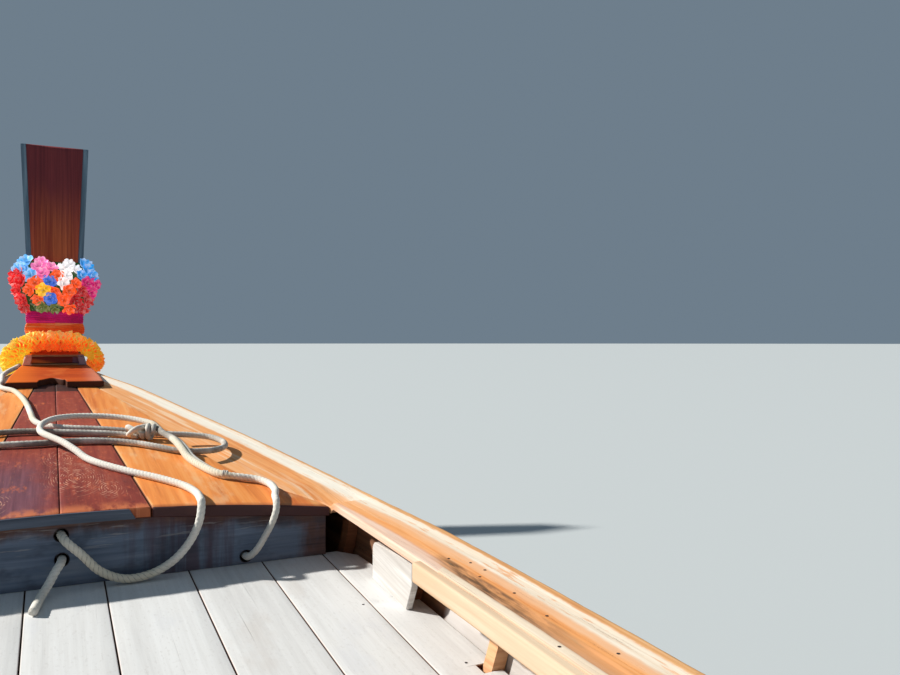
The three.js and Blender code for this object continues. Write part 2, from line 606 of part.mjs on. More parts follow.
// Thwarts: x of the middle, name
const BENCHES = [['fore', -80], ['middle', -1250], ['aft', -2450]];
const BENCH_WIDE = 280;
const BENCH_THICK = 34;
BENCHES.forEach(([name, x]) => {
  const [aft, fore] = [x - BENCH_WIDE / 2, x + BENCH_WIDE / 2];
  const half = Math.min(capInner(aft), capInner(fore)) + 70;
  const low = Math.max(capTop(aft), capTop(fore)) + GAP;
  const seat = box(aft, fore, -half, half, low, low + BENCH_THICK);
  const leg = (y) => box(x - 20, x + 20, y - 25, y + 25, floorTop(x + 20) + 0.6, low + 5);
  add(`bench_${name}`, join([seat, leg(-500), leg(500), leg(0)]), wood(WOOD.pale));
});

// Bands round the prow: what is wrapped or tied on follows its outline

// Outline of the prow at height z, grown by a distance behind and another at the sides
function prowOutline(z, behind, g) {
  const [aft, half, rabbet] = prowAt(z);
  const nose = rabbet + GAP + STEM_DEPTH;
  return [[aft - behind, half * 0.5], [aft - behind, half + g * 0.3], [aft + g * 0.1, half + g],
    [rabbet, STEM_HALF + g * 1.25], [nose + g * 0.4, STEM_NOSE_HALF + g], [nose + g, STEM_NOSE_HALF * 0.5]]
    .flatMap(([x, y], i, list) => (i ? [[x, y]] : [[x, 0], [x, y]]))
    .map(([x, y]) => new THREE.Vector3(x, y, z));
}
function bandAround(levels, thick) {
  const around = (z, behind, g) => {
    const half = prowOutline(z, behind, g);
    return [...half, ...half.slice(1).reverse().map((p) => mirrored(p, -1))];
  };
  const swell = (i) => (typeof thick === 'function' ? thick(i) : thick);
  const outer = levels.map((z, i) => around(z, swell(i), swell(i))).reverse();
  const rings = [...levels.map((z) => around(z, 2 * GAP, 3)), ...outer];
  const sections = rings[0].map((_, k) => rings.map((ring) => ring[k]));
  return loft(sections, true);
}
const SASH_THICK = 14;
add('sash_orange', bandAround([1328, 1396], SASH_THICK), cloth(0xd9622b));
add('sash_magenta', bandAround([1398, 1450, 1474], SASH_THICK), cloth(0xb0176f));
const FLOWER_LEVELS = [1476, 1510, 1590, 1690, 1780, 1836];
const FLOWER_SWELL = [14, 62, 96, 92, 60, 14];
add('garland_flowers', bandAround(FLOWER_LEVELS, (i) => FLOWER_SWELL[i]), cloth(0xd8343c));

// Garland of marigolds: a thick ring hung over the collar and down round the stem
const GARLAND_R = 64;
const GARLAND = [
  [4828.5, 0, 1287], [4827, 110, 1285], [4822, 194, 1256], [4856, 252, 1198], [4930, 262, 1150],
  [5030, 248, 1118], [5130, 204, 1080], [5225, 130, 1046], [5266, 0, 1030],
];
function garland() {
  const half = GARLAND.map((p) => new THREE.Vector3(...p));
  const loop = [...half, ...half.slice(1, -1).reverse().map((p) => mirrored(p, -1))];
  const path = new THREE.CatmullRomCurve3(loop, true, 'centripetal');
  const [turns, sides] = [32, 8];
  const up = new THREE.Vector3(0.2, 0, 1);
  return loft(steps(turns - 1, 0, (turns - 1) / turns).map((t) => {
    const [centre, ahead] = [path.getPointAt(t), path.getTangentAt(t)];
    const across = ahead.clone().cross(up).normalize();
    const over = across.clone().cross(ahead);
    return steps(sides - 1, 0, (2 * Math.PI * (sides - 1)) / sides).map((a) => centre.clone()
      .addScaledVector(across, GARLAND_R * Math.cos(a))
      .addScaledVector(over, GARLAND_R * Math.sin(a)));
  }), true);
}
add('garland_marigold', garland(), cloth(0xf08a1c));

// Canopy: posts on the caps, bent hoops over them, rails along them, and one curved sheet
const HOOP_XS = [-3620, -2580, -1540, -500];
const CANOPY_EAVE = 1700;         // height where posts turn into hoops
const CANOPY_RISE = 330;
const PIPE_R = 16;
const canopyHalf = (x) => Math.min(capOuter(x) - 75, 1040);
const EAVE_HALF = 940;
const HOOP_SPANS = 10;
const hoopPoint = (x, k) => new THREE.Vector3(
  x, EAVE_HALF * Math.sin((k * Math.PI) / 2), CANOPY_EAVE + CANOPY_RISE * (Math.cos((k * Math.PI) / 2)));
const hoopOut = (k) => new THREE.Vector3(
  0, Math.sin((k * Math.PI) / 2) / EAVE_HALF, Math.cos((k * Math.PI) / 2) / CANOPY_RISE).normalize();
const HOOP_KS = [-1.05, ...steps(HOOP_SPANS, -1, 1), 1.05];
function hoop(x) {
  return loft(HOOP_KS.map((k) => [0, 1, 2, 3, 4, 5].map((i) => (
    hoopPoint(x, k).addScaledVector(hoopOut(k), PIPE_R * Math.cos((i * Math.PI) / 3))
      .add(new THREE.Vector3(PIPE_R * Math.sin((i * Math.PI) / 3), 0, 0))))));
}
function canopyFrame() {
  const list = [];
  HOOP_XS.forEach((x) => {
    list.push(hoop(x));
    [1, -1].forEach((side) => {
      const [y, z] = [canopyHalf(x) * side, capTop(x) + GAP];
      list.push(rod([x, y, z], [x, (EAVE_HALF - 6) * side, CANOPY_EAVE - 2], PIPE_R, 6));
      list.push(rod([x, y, z + 0.4], [x, y, z + 9], 42, 8));
    });
  });
  [-0.96, -0.5, 0, 0.5, 0.96].forEach((k) => {
    const under = hoopOut(k).multiplyScalar(-8);
    const ends = [HOOP_XS[0] - 90, HOOP_XS[3] + 60].map((x) => hoopPoint(x, k).add(under).toArray());
    list.push(rod(...ends, PIPE_R - 4, 6));
  });
  return join(list);
}
add('canopy_frame', canopyFrame(), metal(0x9aa3a8));
function canopyCover() {
  const xs = steps(6, HOOP_XS[0] - 150, HOOP_XS[3] + 120);
  const grid = (lift) => xs.map((x) => (
    HOOP_KS.map((k) => hoopPoint(x, k).addScaledVector(hoopOut(k), lift))));
  return slab(grid(PIPE_R + 8), grid(PIPE_R + 0.6));
}
add('canopy_cover', canopyCover(), cloth(0x2f6fa8));

// Engine bed: a heavy beam across the stern with the swivel's socket on it
const BED_TOP = 690;
function engineBed() {
  const beam = box(PIVOT_X - 110, PIVOT_X + 110, -290, 290, STERN_DECK_Z + GAP, STERN_DECK_Z + 110);
  const block = box(PIVOT_X - 90, PIVOT_X + 90, -140, 140, STERN_DECK_Z + 100, BED_TOP - 20);
  const socket = rod([PIVOT_X, 0, BED_TOP - 25], [PIVOT_X, 0, BED_TOP], 95, 16);
  return join([beam, block, socket]);
}
add('engine_bed', engineBed(), wood(WOOD.hull));

// Swivel yoke: turntable, stub and two cheeks that hold the tilt pin
const CHEEK_IN = 212;             // inner face of a yoke cheek, off the centreline
const CHEEK_THICK = 16;
function yoke() {
  const base = BED_TOP + GAP;
  const half = CHEEK_IN + CHEEK_THICK;
  const turntable = rod([PIVOT_X, 0, base], [PIVOT_X, 0, base + 22], 92, 16);
  const stub = rod([PIVOT_X, 0, base + 20], [PIVOT_X, 0, base + 60], 48, 12);
  const bridge = box(PIVOT_X - 60, PIVOT_X + 60, -half, half, base + 55, base + 73);
  const parts = [turntable, stub, bridge];
  [1, -1].forEach((side) => {
    const [near, far] = [CHEEK_IN * side, half * side];
    const ys = [Math.min(near, far), Math.max(near, far)];
    parts.push(box(PIVOT_X - 50, PIVOT_X + 50, ...ys, base + 60, PIVOT_Z - 30));
    parts.push(rod([PIVOT_X, near, PIVOT_Z], [PIVOT_X, far, PIVOT_Z], 50, 16));
  });
  return join(parts);
}
add('swivel_yoke', yoke(), metal(0x4d565c));

// Engine unit, in its own frame: x forward along the drive, origin at the tilt pin
const unit = new THREE.Group();
unit.position.set(PIVOT_X, 0, PIVOT_Z);
unit.rotation.y = -DRIVE_SLOPE;
boat.add(unit);

const TAIL_R = 30;
const TAIL_END = 52;              // tail's last bearing, ahead of the propeller's middle
const CRADLE_AFT = -640;
function cradleAndTail() {
  const rails = [[140, 190], [-190, -140]].map((ys) => box(CRADLE_AFT, 560, ...ys, -50, 10));
  const crossbars = [-610, -200, 180, 520].map((x) => box(x, x + 40, -150, 150, -45, 0));
  const pin = rod([0, GAP - CHEEK_IN, 0], [0, CHEEK_IN - GAP, 0], 26, 12);
  const coupling = rod([-392, 0, 30], [CRADLE_AFT, 0, 24], 66, 12, 40);
  const tail = rod([CRADLE_AFT + 10, 0, 24], [-TAIL_LENGTH + 60, 0, 0], TAIL_R, 10);
  const brace = rod([CRADLE_AFT, 0, -30], [-2300, 0, -14], 12, 6);
  const bearing = rod([-TAIL_LENGTH + 160, 0, 0], [-TAIL_LENGTH + TAIL_END, 0, 0], 38, 12, 32);
  const bracket = box(-600, -560, -60, 60, -45, 40);
  const corners = [[0, 0], [220, 0], [190, -150], [60, -170]];
  const outline = new THREE.Shape(corners.map((p) => new THREE.Vector2(...p)));
  const fin = new THREE.ExtrudeGeometry(outline, { depth: 8, bevelEnabled: false });
  fin.rotateX(Math.PI / 2).translate(-TAIL_LENGTH + 80, 4, -20);
  return join([...rails, ...crossbars, pin, coupling, tail, brace, bearing, bracket, fin]);
}
add('tail_and_cradle', cradleAndTail(), metal(0x6b7378), unit);

const ENGINE = { aft: -300, fore: 330, half: 125, low: 30, deck: 340, top: 430 };
function engine() {
  const { aft, fore, half, low, deck, top } = ENGINE;
  const crankcase = [box(aft, fore, -half, half, low + 80, deck),
    box(aft + 60, fore - 60, -90, 90, low, low + 90)];
  const head = [box(aft + 30, fore - 30, -95, 95, deck - 5, top - 40),
    box(aft + 60, fore - 60, -60, 60, top - 45, top)];
  const flywheelHousing = rod([aft - 90, 0, 120], [aft + 10, 0, 150], 120, 16, 165);
  const pulleys = [rod([fore - 5, 0, 170], [fore + 60, 0, 170], 85, 16),
    rod([fore - 5, 0, 320], [fore + 45, 0, 320], 60, 12)];
  const alternator = [rod([fore - 140, -210, 230], [fore + 20, -210, 230], 62, 12),
    box(fore - 120, fore - 20, -180, -100, 200, 260)];
  const airCleaner = [rod([40, 0, top - 5], [40, 0, top + 40], 40, 12),
    rod([40, 0, top + 35], [40, 0, top + 105], 115, 16)];
  const manifold = box(-180, 160, 100, 165, 235, 290);
  const feet = [aft + 120, fore - 150].flatMap((x) => (
    [[100, 185], [-185, -100]].map((ys) => box(x, x + 50, ...ys, 10 + GAP, 120))));
  return join([...crankcase, ...head, flywheelHousing, ...pulleys, ...alternator, ...airCleaner,
    manifold, ...feet]);
}
add('engine_block', engine(), metal(0x3f6f8c, 0.6), unit);

const EXHAUST = [
  [-60, 166, 262], [-60, 196, 262], [-120, 222, 270],
  [-260, 230, 330], [-360, 232, 460], [-380, 232, 620],
];
add('exhaust_pipe', tube(EXHAUST, 24, 14, 10), metal(0x7a6a5c), unit);

const TILLER = [[570, 0, -20], [680, 0, -8], [820, 0, 24], [960, 0, 44], [1120, 0, 56]];
function tiller() {
  const socket = rod([561, 0, -20], [585, 0, -20], 34, 10);
  const grip = rod([1100, 0, 55], [1260, 0, 62], 22, 10);
  return join([tube(TILLER, 17, 10), socket, grip]);
}
add('tiller_handle', tiller(), metal(0x8a8f92), unit);

// Propeller: a hub and two twisted blades
function propeller() {
  const parts = [rod([-TAIL_LENGTH + TAIL_END - GAP, 0, 0], [-TAIL_LENGTH - 40, 0, 0], 26, 12, 18)];
  [0, Math.PI].forEach((turn) => {
    const rows = steps(5, 18, 140).map((r, i) => {
      const pitch = Math.atan2(70, r);
      const chord = [34, 44, 56, 62, 52, 22][i];
      return [-1, 1].map((end) => [end * chord * Math.sin(pitch), end * chord * Math.cos(pitch), r]);
    });
    const grid = (lift) => rows.map((row) => row.map(([x, y, z]) => new THREE.Vector3(x + lift, y, z)
      .applyAxisAngle(new THREE.Vector3(1, 0, 0), turn).add(new THREE.Vector3(-TAIL_LENGTH, 0, 0))));
    parts.push(slab(grid(4), grid(-4)));
  });
  return join(parts);
}
add('propeller', propeller(), metal(0xb08d4a, 0.3), unit);

// Ropes
const DECK_LINE = [
  [1934, -600, 508], [1905, -600, 509], [1868, -604, 514], [1848, -626, 538], [1846, -655, 582],
  [1850, -684, 632], [1858, -700, 672], [1880, -706, 699], [1930, -714, 708], [2020, -737, 715],
  [2110, -735, 725], [2170, -700, 735], [2200, -630, 746], [2230, -575, 754], [2351, -522, 773],
  [2480, -487, 796], [2560, -474, 822], [2640, -462, 843], [2714, -449, 855], [2810, -425, 868],
  [2900, -415, 880], [2990, -400, 892], [3075, -345, 904], [3135, -271, 914], [3170, -183, 921],
  [3180, -83, 924], [3150, 0, 921], [3070, 50, 911], [2980, 68, 899], [2880, 62, 886],
  [2790, 26, 874], [2700, -18, 860], [2600, -66, 834], [2520, -100, 812], [2425, -150, 798],
  [2300, -245, 779], [2181, -345, 762], [2080, -415, 746], [1985, -443, 734], [1905, -443, 728],
  [1868, -441, 722], [1853, -437, 690], [1852, -428, 650], [1850, -402, 597], [1846, -350, 540],
  [1844, -275, 502], [1844, -191, 496], [1846, -118, 530], [1848, -62, 590], [1862, -18, 632],
  [1900, -4, 648], [1945, 2, 650], [1995, 8, 638], [2020, 8, 608], [1995, 2, 578],
  [1945, -4, 567], [1900, -6, 568], [1868, -2, 563], [1846, 12, 546], [1815, 34, 512],
  [1765, 56, 489], [1671, 73, 479],
];
const MOORING_ROPE = [
  [4790, 203, 1124], [4730, 222, 1112], [4655, 262, 1090], [4560, 285, 1070], [4470, 286, 1052],
  [4380, 284, 1037], [4290, 290, 1022], [4222, 272, 1012], [4118, 214, 1001], [3900, 165, 975],
  [3685, 135, 949], [3447, 113, 921], [3290, 97, 902], [3190, 66, 891], [3120, 10, 884],
  [3080, -70, 878], [3045, -170, 873], [3000, -280, 864], [2950, -380, 854], [2930, -470, 846],
  [2920, -560, 838], [2890, -645, 827], [2810, -688, 814], [2715, -682, 803], [2635, -630, 799],
  [2600, -550, 801], [2615, -470, 806], [2680, -390, 820], [2750, -310, 832], [2795, -220, 841],
  [2815, -120, 847], [2815, -20, 848], [2808, 60, 847], [2812, 150, 847], [2828, 225, 846],
  [2875, 290, 849], [2950, 318, 856], [3025, 290, 867], [3055, 220, 874], [3048, 130, 876],
  [3020, 40, 873], [2985, -50, 869], [2955, -150, 864], [2925, -250, 857], [2885, -330, 848],
];
add('deck_line', tube(DECK_LINE, ROPE_R, 66), cloth(0xcfc8ba));
add('mooring_rope', tube(MOORING_ROPE, ROPE_R, 58), cloth(0xcfc8ba));

export default boat;
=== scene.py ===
import math

import bmesh
import bpy
import numpy as np
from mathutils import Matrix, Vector


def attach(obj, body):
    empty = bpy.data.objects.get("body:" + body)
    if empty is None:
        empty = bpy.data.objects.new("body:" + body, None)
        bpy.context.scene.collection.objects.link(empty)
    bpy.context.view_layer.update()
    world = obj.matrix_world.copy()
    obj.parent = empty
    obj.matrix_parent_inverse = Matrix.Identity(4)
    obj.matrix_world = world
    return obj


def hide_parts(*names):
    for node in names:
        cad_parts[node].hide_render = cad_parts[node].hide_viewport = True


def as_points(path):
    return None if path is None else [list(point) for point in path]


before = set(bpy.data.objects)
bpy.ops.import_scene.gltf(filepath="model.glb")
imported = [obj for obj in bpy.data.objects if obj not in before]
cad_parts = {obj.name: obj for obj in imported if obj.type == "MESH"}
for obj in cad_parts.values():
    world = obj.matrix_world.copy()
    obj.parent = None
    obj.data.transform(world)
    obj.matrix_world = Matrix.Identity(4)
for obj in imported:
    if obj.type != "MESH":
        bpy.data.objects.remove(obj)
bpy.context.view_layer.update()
TAU = 2 * math.pi

# Camera: the eyes of a passenger on a bench, turned to starboard

EYE = (-1.0, 0.03, 1.28)
YAW = math.radians(26.57)
PITCH = math.radians(0.25)
LENS, SENSOR = 32, 36             # millimetres


def make_camera():
    data = bpy.data.cameras.new("passenger_eye")
    data.lens, data.sensor_width = LENS, SENSOR
    data.clip_start, data.clip_end = 0.02, 2000
    camera = bpy.data.objects.new("passenger_eye", data)
    ahead = Vector((math.cos(YAW) * math.cos(PITCH), -math.sin(YAW) * math.cos(PITCH), math.sin(PITCH)))
    camera.location = EYE
    camera.rotation_euler = ahead.to_track_quat("-Z", "Y").to_euler()
    bpy.context.scene.collection.objects.link(camera)
    bpy.context.scene.camera = camera


make_camera()

# Sizes that the pieces share

PLANK = 0.024
STEM_HALF, STEM_NOSE_HALF, STEM_DEPTH = 0.045, 0.018, 0.09
CAP_THICK, CAP_OVERHANG, CAP_GAP = 0.034, 0.025, 0.0011
STERN_X, STERN_RAKE = -5.36, 0.22
FOREFOOT_X, FOREFOOT_Z = 2.6, -0.25
BOW_X, BOW_Z = 5.08, 1.112
STEM_RAKE = 0.408
DECK_AFT, DECK_FORE, DECK_KINK, DECK_THICK = 1.885, 4.42, 4.209, 0.034
FLOOR_AFT, FLOOR_FORE, FLOOR_THICK = -3.895, 1.915, 0.024
STERN_DECK_Z = 0.52
FRAME_XS = -4.32 + 0.52 * np.arange(14)
FRAME_HALF, FRAME_DEEP = 0.0225, 0.038
BENCHES = [("fore", -0.08, 0.6423), ("middle", -1.25, 0.61235), ("aft", -2.45, 0.6033)]
BENCH_HALF, BENCH_THICK = 0.14, 0.034
ROPE = 0.027
SIDES = [("port", 1), ("starboard", -1)]

# x, half breadth to the cap's outer edge, to its inner edge, height of the cap's top
SHEER = np.array([
    [-5.56, .440, .250, .668], [-4.8, .690, .480, .622], [-4.0, .880, .670, .592], [-3.0, 1.03, .820, .572],
    [-2.0, 1.105, .895, .567], [-1.0, 1.14, .925, .580], [0, 1.15, .935, .606], [.7, 1.147, .935, .634],
    [1.3, 1.135, .928, .658], [1.86, 1.092, .915, .682], [2.19, 1.045, .720, .710], [2.5, .990, .608, .740],
    [3.03, .865, .500, .805], [3.6, .690, .395, .888], [4.25, .455, .230, 1.0], [4.6, .288, .160, 1.06],
    [4.85, .174, .110, 1.105], [5.09, .070, .048, 1.143]])
# x, height of the planking's foot at the keel
KEEL = np.array([[-5.36, -.055], [-4.8, -.13], [-4.0, -.2], [-3.0, -.252], [-2.0, -.276], [-.5, -.285],
                 [1.0, -.28], [2.0, -.266], [2.6, -.25]])
# share of the length from the stern, fullness of the bilge, roundness of the floor
FULLNESS = np.array([[0, 2.0, 1.45], [.3, 2.2, 1.6], [.6, 2.3, 1.6], [.75, 2.1, 1.5], [.9, 1.5, 1.2],
                     [1, 1.2, 1.05]])
STRAKES = [("garboard", 0, .3), ("bottom", .3, .55), ("bilge", .55, .78), ("sheer", .78, 1)]
FLOOR_SEAMS = [1.06, .88, .63, .37, .1, -.134, -.404, -.659, -.887, -1.06]
# height, aft face, half breadth over the cheeks, rabbet
PROW = np.array([[1.172, 4.872, .178, 5.102], [1.45, 4.925, .158, 5.172], [2.67, 5.37, .22, 5.462]])
CHEEK = 0.034
PROW_FOOT, PROW_TALL = 1.172, 1.498


def unit(v):
    return v / np.maximum(np.linalg.norm(v, axis=-1, keepdims=True), 1e-12)


def along(table, x, column):
    """A table's column at x: a cubic through its rows that never overshoots them."""
    xs, ys = table[:, 0], table[:, column]
    step = np.diff(xs)
    slope = np.diff(ys) / step
    a, b = slope[:-1], slope[1:]
    turns = a * b <= 0
    inner = np.where(turns, 0, 2 * a * b / np.where(turns, 1, a + b))
    tangent = np.concatenate([slope[:1], inner, slope[-1:]])
    x = np.asarray(x, float)
    i = np.clip(np.searchsorted(xs, x, side="left") - 1, 0, len(step) - 1)
    t = np.clip((x - xs[i]) / step[i], 0, 1)
    t2, t3 = t * t, t ** 3
    return ((2 * t3 - 3 * t2 + 1) * ys[i] + (t3 - 2 * t2 + t) * step[i] * tangent[i]
            + (3 * t2 - 2 * t3) * ys[i + 1] + (t3 - t2) * step[i] * tangent[i + 1])


def cap_outer(x):
    return along(SHEER, x, 1)


def cap_inner(x):
    return along(SHEER, x, 2)


def cap_top(x):
    return along(SHEER, x, 3)


def prow_at(z):
    """Aft face, half breadth and rabbet of the prow at a height, in straight lines between the rows."""
    return [np.interp(z, PROW[:, 0], PROW[:, k]) for k in (1, 2, 3)]


def stem_x(z):
    """Rabbet of the stem: a cubic that rises steeply at the forefoot and lies back towards the sheer."""
    v = np.clip((z - FOREFOOT_Z) / (BOW_Z - FOREFOOT_Z), 0, 1)
    return FOREFOOT_X + STEM_RAKE * v + (BOW_X - FOREFOOT_X - STEM_RAKE) * (1 - (1 - v) ** 3)


SHEER_AFT = STERN_X - STERN_RAKE * float(cap_top(STERN_X))


def girth(s, t):
    """Height on the girth line s at the length t, its share of the side's height, and the breadth there."""
    foot = along(KEEL, STERN_X + (FOREFOOT_X - STERN_X) * t, 1)
    x = SHEER_AFT + (BOW_X - SHEER_AFT) * t
    head = cap_top(x) - CAP_THICK - CAP_GAP
    share = s ** 1.8 + (s ** 1.3 - s ** 1.8) * t ** 3
    return foot + (head - foot) * share, share, cap_outer(x) - CAP_OVERHANG


def hull(s, t):
    """Outside of the port planking; s runs from keel to sheer and t from stern to stem.
    The half breadth is 1 - (1 - share) ^ full, to the power 1 / round."""
    s, t = np.broadcast_arrays(np.asarray(s, float), np.asarray(t, float))
    z, share, breadth = girth(s, t)
    x_stern = STERN_X - STERN_RAKE * girth(s, t * 0)[0]
    x = x_stern + (stem_x(girth(s, t * 0 + 1)[0]) - x_stern) * t
    swell = (1 - np.clip(1 - share, 0, 1) ** along(FULLNESS, t, 1)) ** (1 / along(FULLNESS, t, 2))
    return np.stack([x, STEM_HALF + (breadth - STEM_HALF) * swell, z], -1)


def in_planking(t, s, w):
    """A point of the port planking at a depth w inside it, along the hull's normal."""
    t, s, w = np.broadcast_arrays(t, s, w)
    e = .004
    across = hull(np.minimum(s + e, 1), t) - hull(np.maximum(s - e, 0), t)
    ahead = hull(s, np.minimum(t + e, 1)) - hull(s, np.maximum(t - e, 0))
    normal = unit(np.cross(across, ahead))
    normal = normal * np.where(normal[..., 1:2] < 0, -1, 1)
    point = hull(s, t) - normal * w[..., None]
    top = girth(t * 0 + 1, t)[0]
    point[..., 2] = np.where(w > .001, np.minimum(point[..., 2], top - .003), point[..., 2])
    return point


def room(x, z, depth):
    """Half breadth at x and the height z, at a depth inside the planking: the girth lines are read at x,
    then the breadth between the two lines that z lies between."""
    s = np.linspace(.02, 1, 41)[None]
    lines = in_planking(np.linspace(0, 1, 161)[:, None], s, np.full((1, 1), depth))
    x, z = np.broadcast_arrays(np.asarray(x, float), np.asarray(z, float))
    ys = np.stack([np.interp(x, lines[:, j, 0], lines[:, j, 1]) for j in range(41)])
    zs = np.stack([np.interp(x, lines[:, j, 0], lines[:, j, 2]) for j in range(41)])
    k = np.clip((zs < z).sum(0), 1, 40)[None]
    y0, y1 = np.take_along_axis(ys, k - 1, 0)[0], np.take_along_axis(ys, k, 0)[0]
    z0, z1 = np.take_along_axis(zs, k - 1, 0)[0], np.take_along_axis(zs, k, 0)[0]
    return y0 + (y1 - y0) * (z - z0) / (z1 - z0)


def deck_crown(x):
    """Height of the deck's middle line: straight, and steeper forward of the kink."""
    return .721 + .12 * (x - 1.889) + .05 * np.maximum(0, x - DECK_KINK)


def deck_top(x, y):
    """The deck falls from its middle line by the square of y."""
    return deck_crown(x) - .075 * y * y


def floor_top(x):
    """Height of the floor's top: two straight slopes that meet at x = -1."""
    return .48 - .076 * (1.889 - np.maximum(x, -1.0)) + .02 * np.minimum(0, x + 1.0)


def middle_seam(x):
    """Half breadth of the foredeck's two middle planks."""
    return .281 - .071 * (x - DECK_AFT)


# Lines and frames along them


def lengths(line):
    """Distance of each point from the line's start, along it."""
    return np.concatenate([[0], np.cumsum(np.linalg.norm(np.diff(line, axis=0), axis=1))])


def spaced(line, spacing):
    """The same line with its points an even spacing apart."""
    line = np.asarray(line, float)
    reach = lengths(line)
    wanted = np.linspace(0, reach[-1], max(2, int(round(reach[-1] / spacing)) + 1))
    return np.stack([np.interp(wanted, reach, line[:, k]) for k in range(3)], -1)


def curve(points, spacing=.004, closed=False):
    """Centripetal Catmull-Rom curve through the points, resampled at an even spacing."""
    p = np.asarray(points, float)
    if closed:
        p = np.concatenate([p[-1:], p, p[:2]])
    else:
        p = np.concatenate([[2 * p[0] - p[1]], p, [2 * p[-1] - p[-2]]])
    a, b, c, d = p[:-3], p[1:-2], p[2:-1], p[3:]
    ab, bc, cd = (np.linalg.norm(v, axis=1)[:, None] ** .5 for v in (b - a, c - b, d - c))
    start = ((b - a) / ab - (c - a) / (ab + bc) + (c - b) / bc) * bc
    end = ((c - b) / bc - (d - b) / (bc + cd) + (d - c) / cd) * bc
    t = np.linspace(0, 1, 24, endpoint=False)[None, :, None]
    b, c, start, end = (v[:, None] for v in (b, c, start, end))
    way = (b * (2 * t ** 3 - 3 * t ** 2 + 1) + start * (t ** 3 - 2 * t ** 2 + t)
           + c * (3 * t ** 2 - 2 * t ** 3) + end * (t ** 3 - t ** 2)).reshape(-1, 3)
    way = spaced(np.concatenate([way, p[-2:-1]]), spacing)
    return way[:-1] if closed else way


def carried(line, up=(0, 0, 1), closed=False):
    """Tangent, normal and side along a line; the normal is carried on from point to point untwisted."""
    if closed:
        tangent = unit(np.roll(line, -1, 0) - np.roll(line, 1, 0))
    else:
        tangent = unit(np.gradient(line, axis=0))
    normal = np.cross(np.cross(tangent[0], up), tangent[0])
    if np.linalg.norm(normal) < 1e-3:
        normal = np.cross(tangent[0], (0, 1, 0))
    normals = []
    for t in tangent:
        normal = normal - t * (normal @ t)
        normal = normal / np.linalg.norm(normal)
        normals.append(normal)
    normals = np.array(normals)
    return tangent, normals, np.cross(tangent, normals)


def ripple(x, seed=0.):
    """A smooth uneven wave between about -1 and 1: sines whose lengths have no common measure."""
    return (np.sin(x * 5.3 + seed) + .7 * np.sin(x * 13.7 + seed * 2.1) + .5 * np.sin(x * 31.1 + seed * 3.7)
            + .3 * np.sin(x * 71.9 + seed * 5.3)) / 2


# Meshes


class Shell:
    """Gathers grids of points into one mesh, with a UV map in metres and a tint for each point."""

    def __init__(self, put=None):
        self.points, self.faces, self.uvs, self.tints = [], [], [], []
        self.count, self.put = 0, put

    def grid(self, points, uv=None, tint=(1, 1, 1), wrap=(False, False), ends=False):
        """Quads over a grid of points; wrap closes it along rows or columns, ends closes a tube's mouths."""
        rows, columns = points.shape[:2]
        tall, wide = rows + wrap[0], columns + wrap[1]
        i, j = np.meshgrid(np.arange(tall - 1), np.arange(wide - 1), indexing="ij")
        i, j = i.ravel(), j.ravel()
        corners = [(i, j), (i + 1, j), (i + 1, j + 1), (i, j + 1)]
        quads = np.stack([(a % rows) * columns + b % columns for a, b in corners], -1) + self.count
        if uv is None:
            uv = spread_uv(points, wrap)
        spots = np.stack([a * wide + b for a, b in corners], -1)
        self.faces.extend(quads.tolist())
        self.uvs.append(uv.reshape(-1, 2)[spots.ravel()])
        if ends:
            for row in (0, rows - 1):
                self.faces.append((np.arange(columns) + row * columns + self.count).tolist())
                self.uvs.append(flat_uv(points[row]))
        self.points.append(points.reshape(-1, 3))
        self.tints.append(np.broadcast_to(np.asarray(tint, float), points.shape).reshape(-1, 3))
        self.count += rows * columns
        return self

    def slab(self, face, back, tint):
        """A solid between two grids of the same shape, with UVs in the plan's metres."""
        rows, columns = face.shape[:2]
        first = self.count
        points = np.concatenate([face, back[::-1]])
        uv = np.concatenate([points, points[:1]])[..., :2]
        self.grid(points, uv, tint, (True, False))
        near = np.arange(rows - 1)
        rails = np.stack([near, near + 1, 2 * rows - 2 - near, 2 * rows - 1 - near], -1) * columns
        for column in (0, columns - 1):
            self.faces.extend((rails + column + first).tolist())
            self.uvs.append(uv.reshape(-1, 2)[(rails + column).ravel()])
        return self

    def build(self, name, finish, body="boat", replaces=(), smooth=35):
        """One object at the origin; faces point out, and edges sharper than `smooth` degrees stay sharp."""
        mesh = bpy.data.meshes.new(name)
        points = np.concatenate(self.points)
        if self.put is not None:
            points = self.put(points)
        mesh.from_pydata(points.tolist(), [], self.faces)
        layer = mesh.uv_layers.new(name="UVMap")
        layer.data.foreach_set("uv", np.concatenate(self.uvs).astype(np.float32).ravel())
        tint = np.concatenate(self.tints)
        colours = mesh.color_attributes.new("tint", "FLOAT_COLOR", "POINT")
        colours.data.foreach_set("color", np.c_[tint, np.ones(len(tint))].astype(np.float32).ravel())
        made = bpy.data.objects.new(name, mesh)
        bpy.context.scene.collection.objects.link(made)
        work = bmesh.new()
        work.from_mesh(mesh)
        bmesh.ops.recalc_face_normals(work, faces=work.faces)
        work.to_mesh(mesh)
        work.free()
        mesh.polygons.foreach_set("use_smooth", np.ones(len(mesh.polygons), bool))
        if smooth < 180:
            mesh.set_sharp_from_angle(angle=math.radians(smooth))
        mesh.materials.append(finish.material)
        mesh.update()
        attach(made, body)
        if replaces:
            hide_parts(*replaces)
        return made


def flat_uv(ring):
    """A flat ring's own two measures, across and along it."""
    spread = ring - ring.mean(0)
    axes = np.linalg.svd(spread, full_matrices=False)[2]
    return np.stack([spread @ axes[0], spread @ axes[1]], -1)


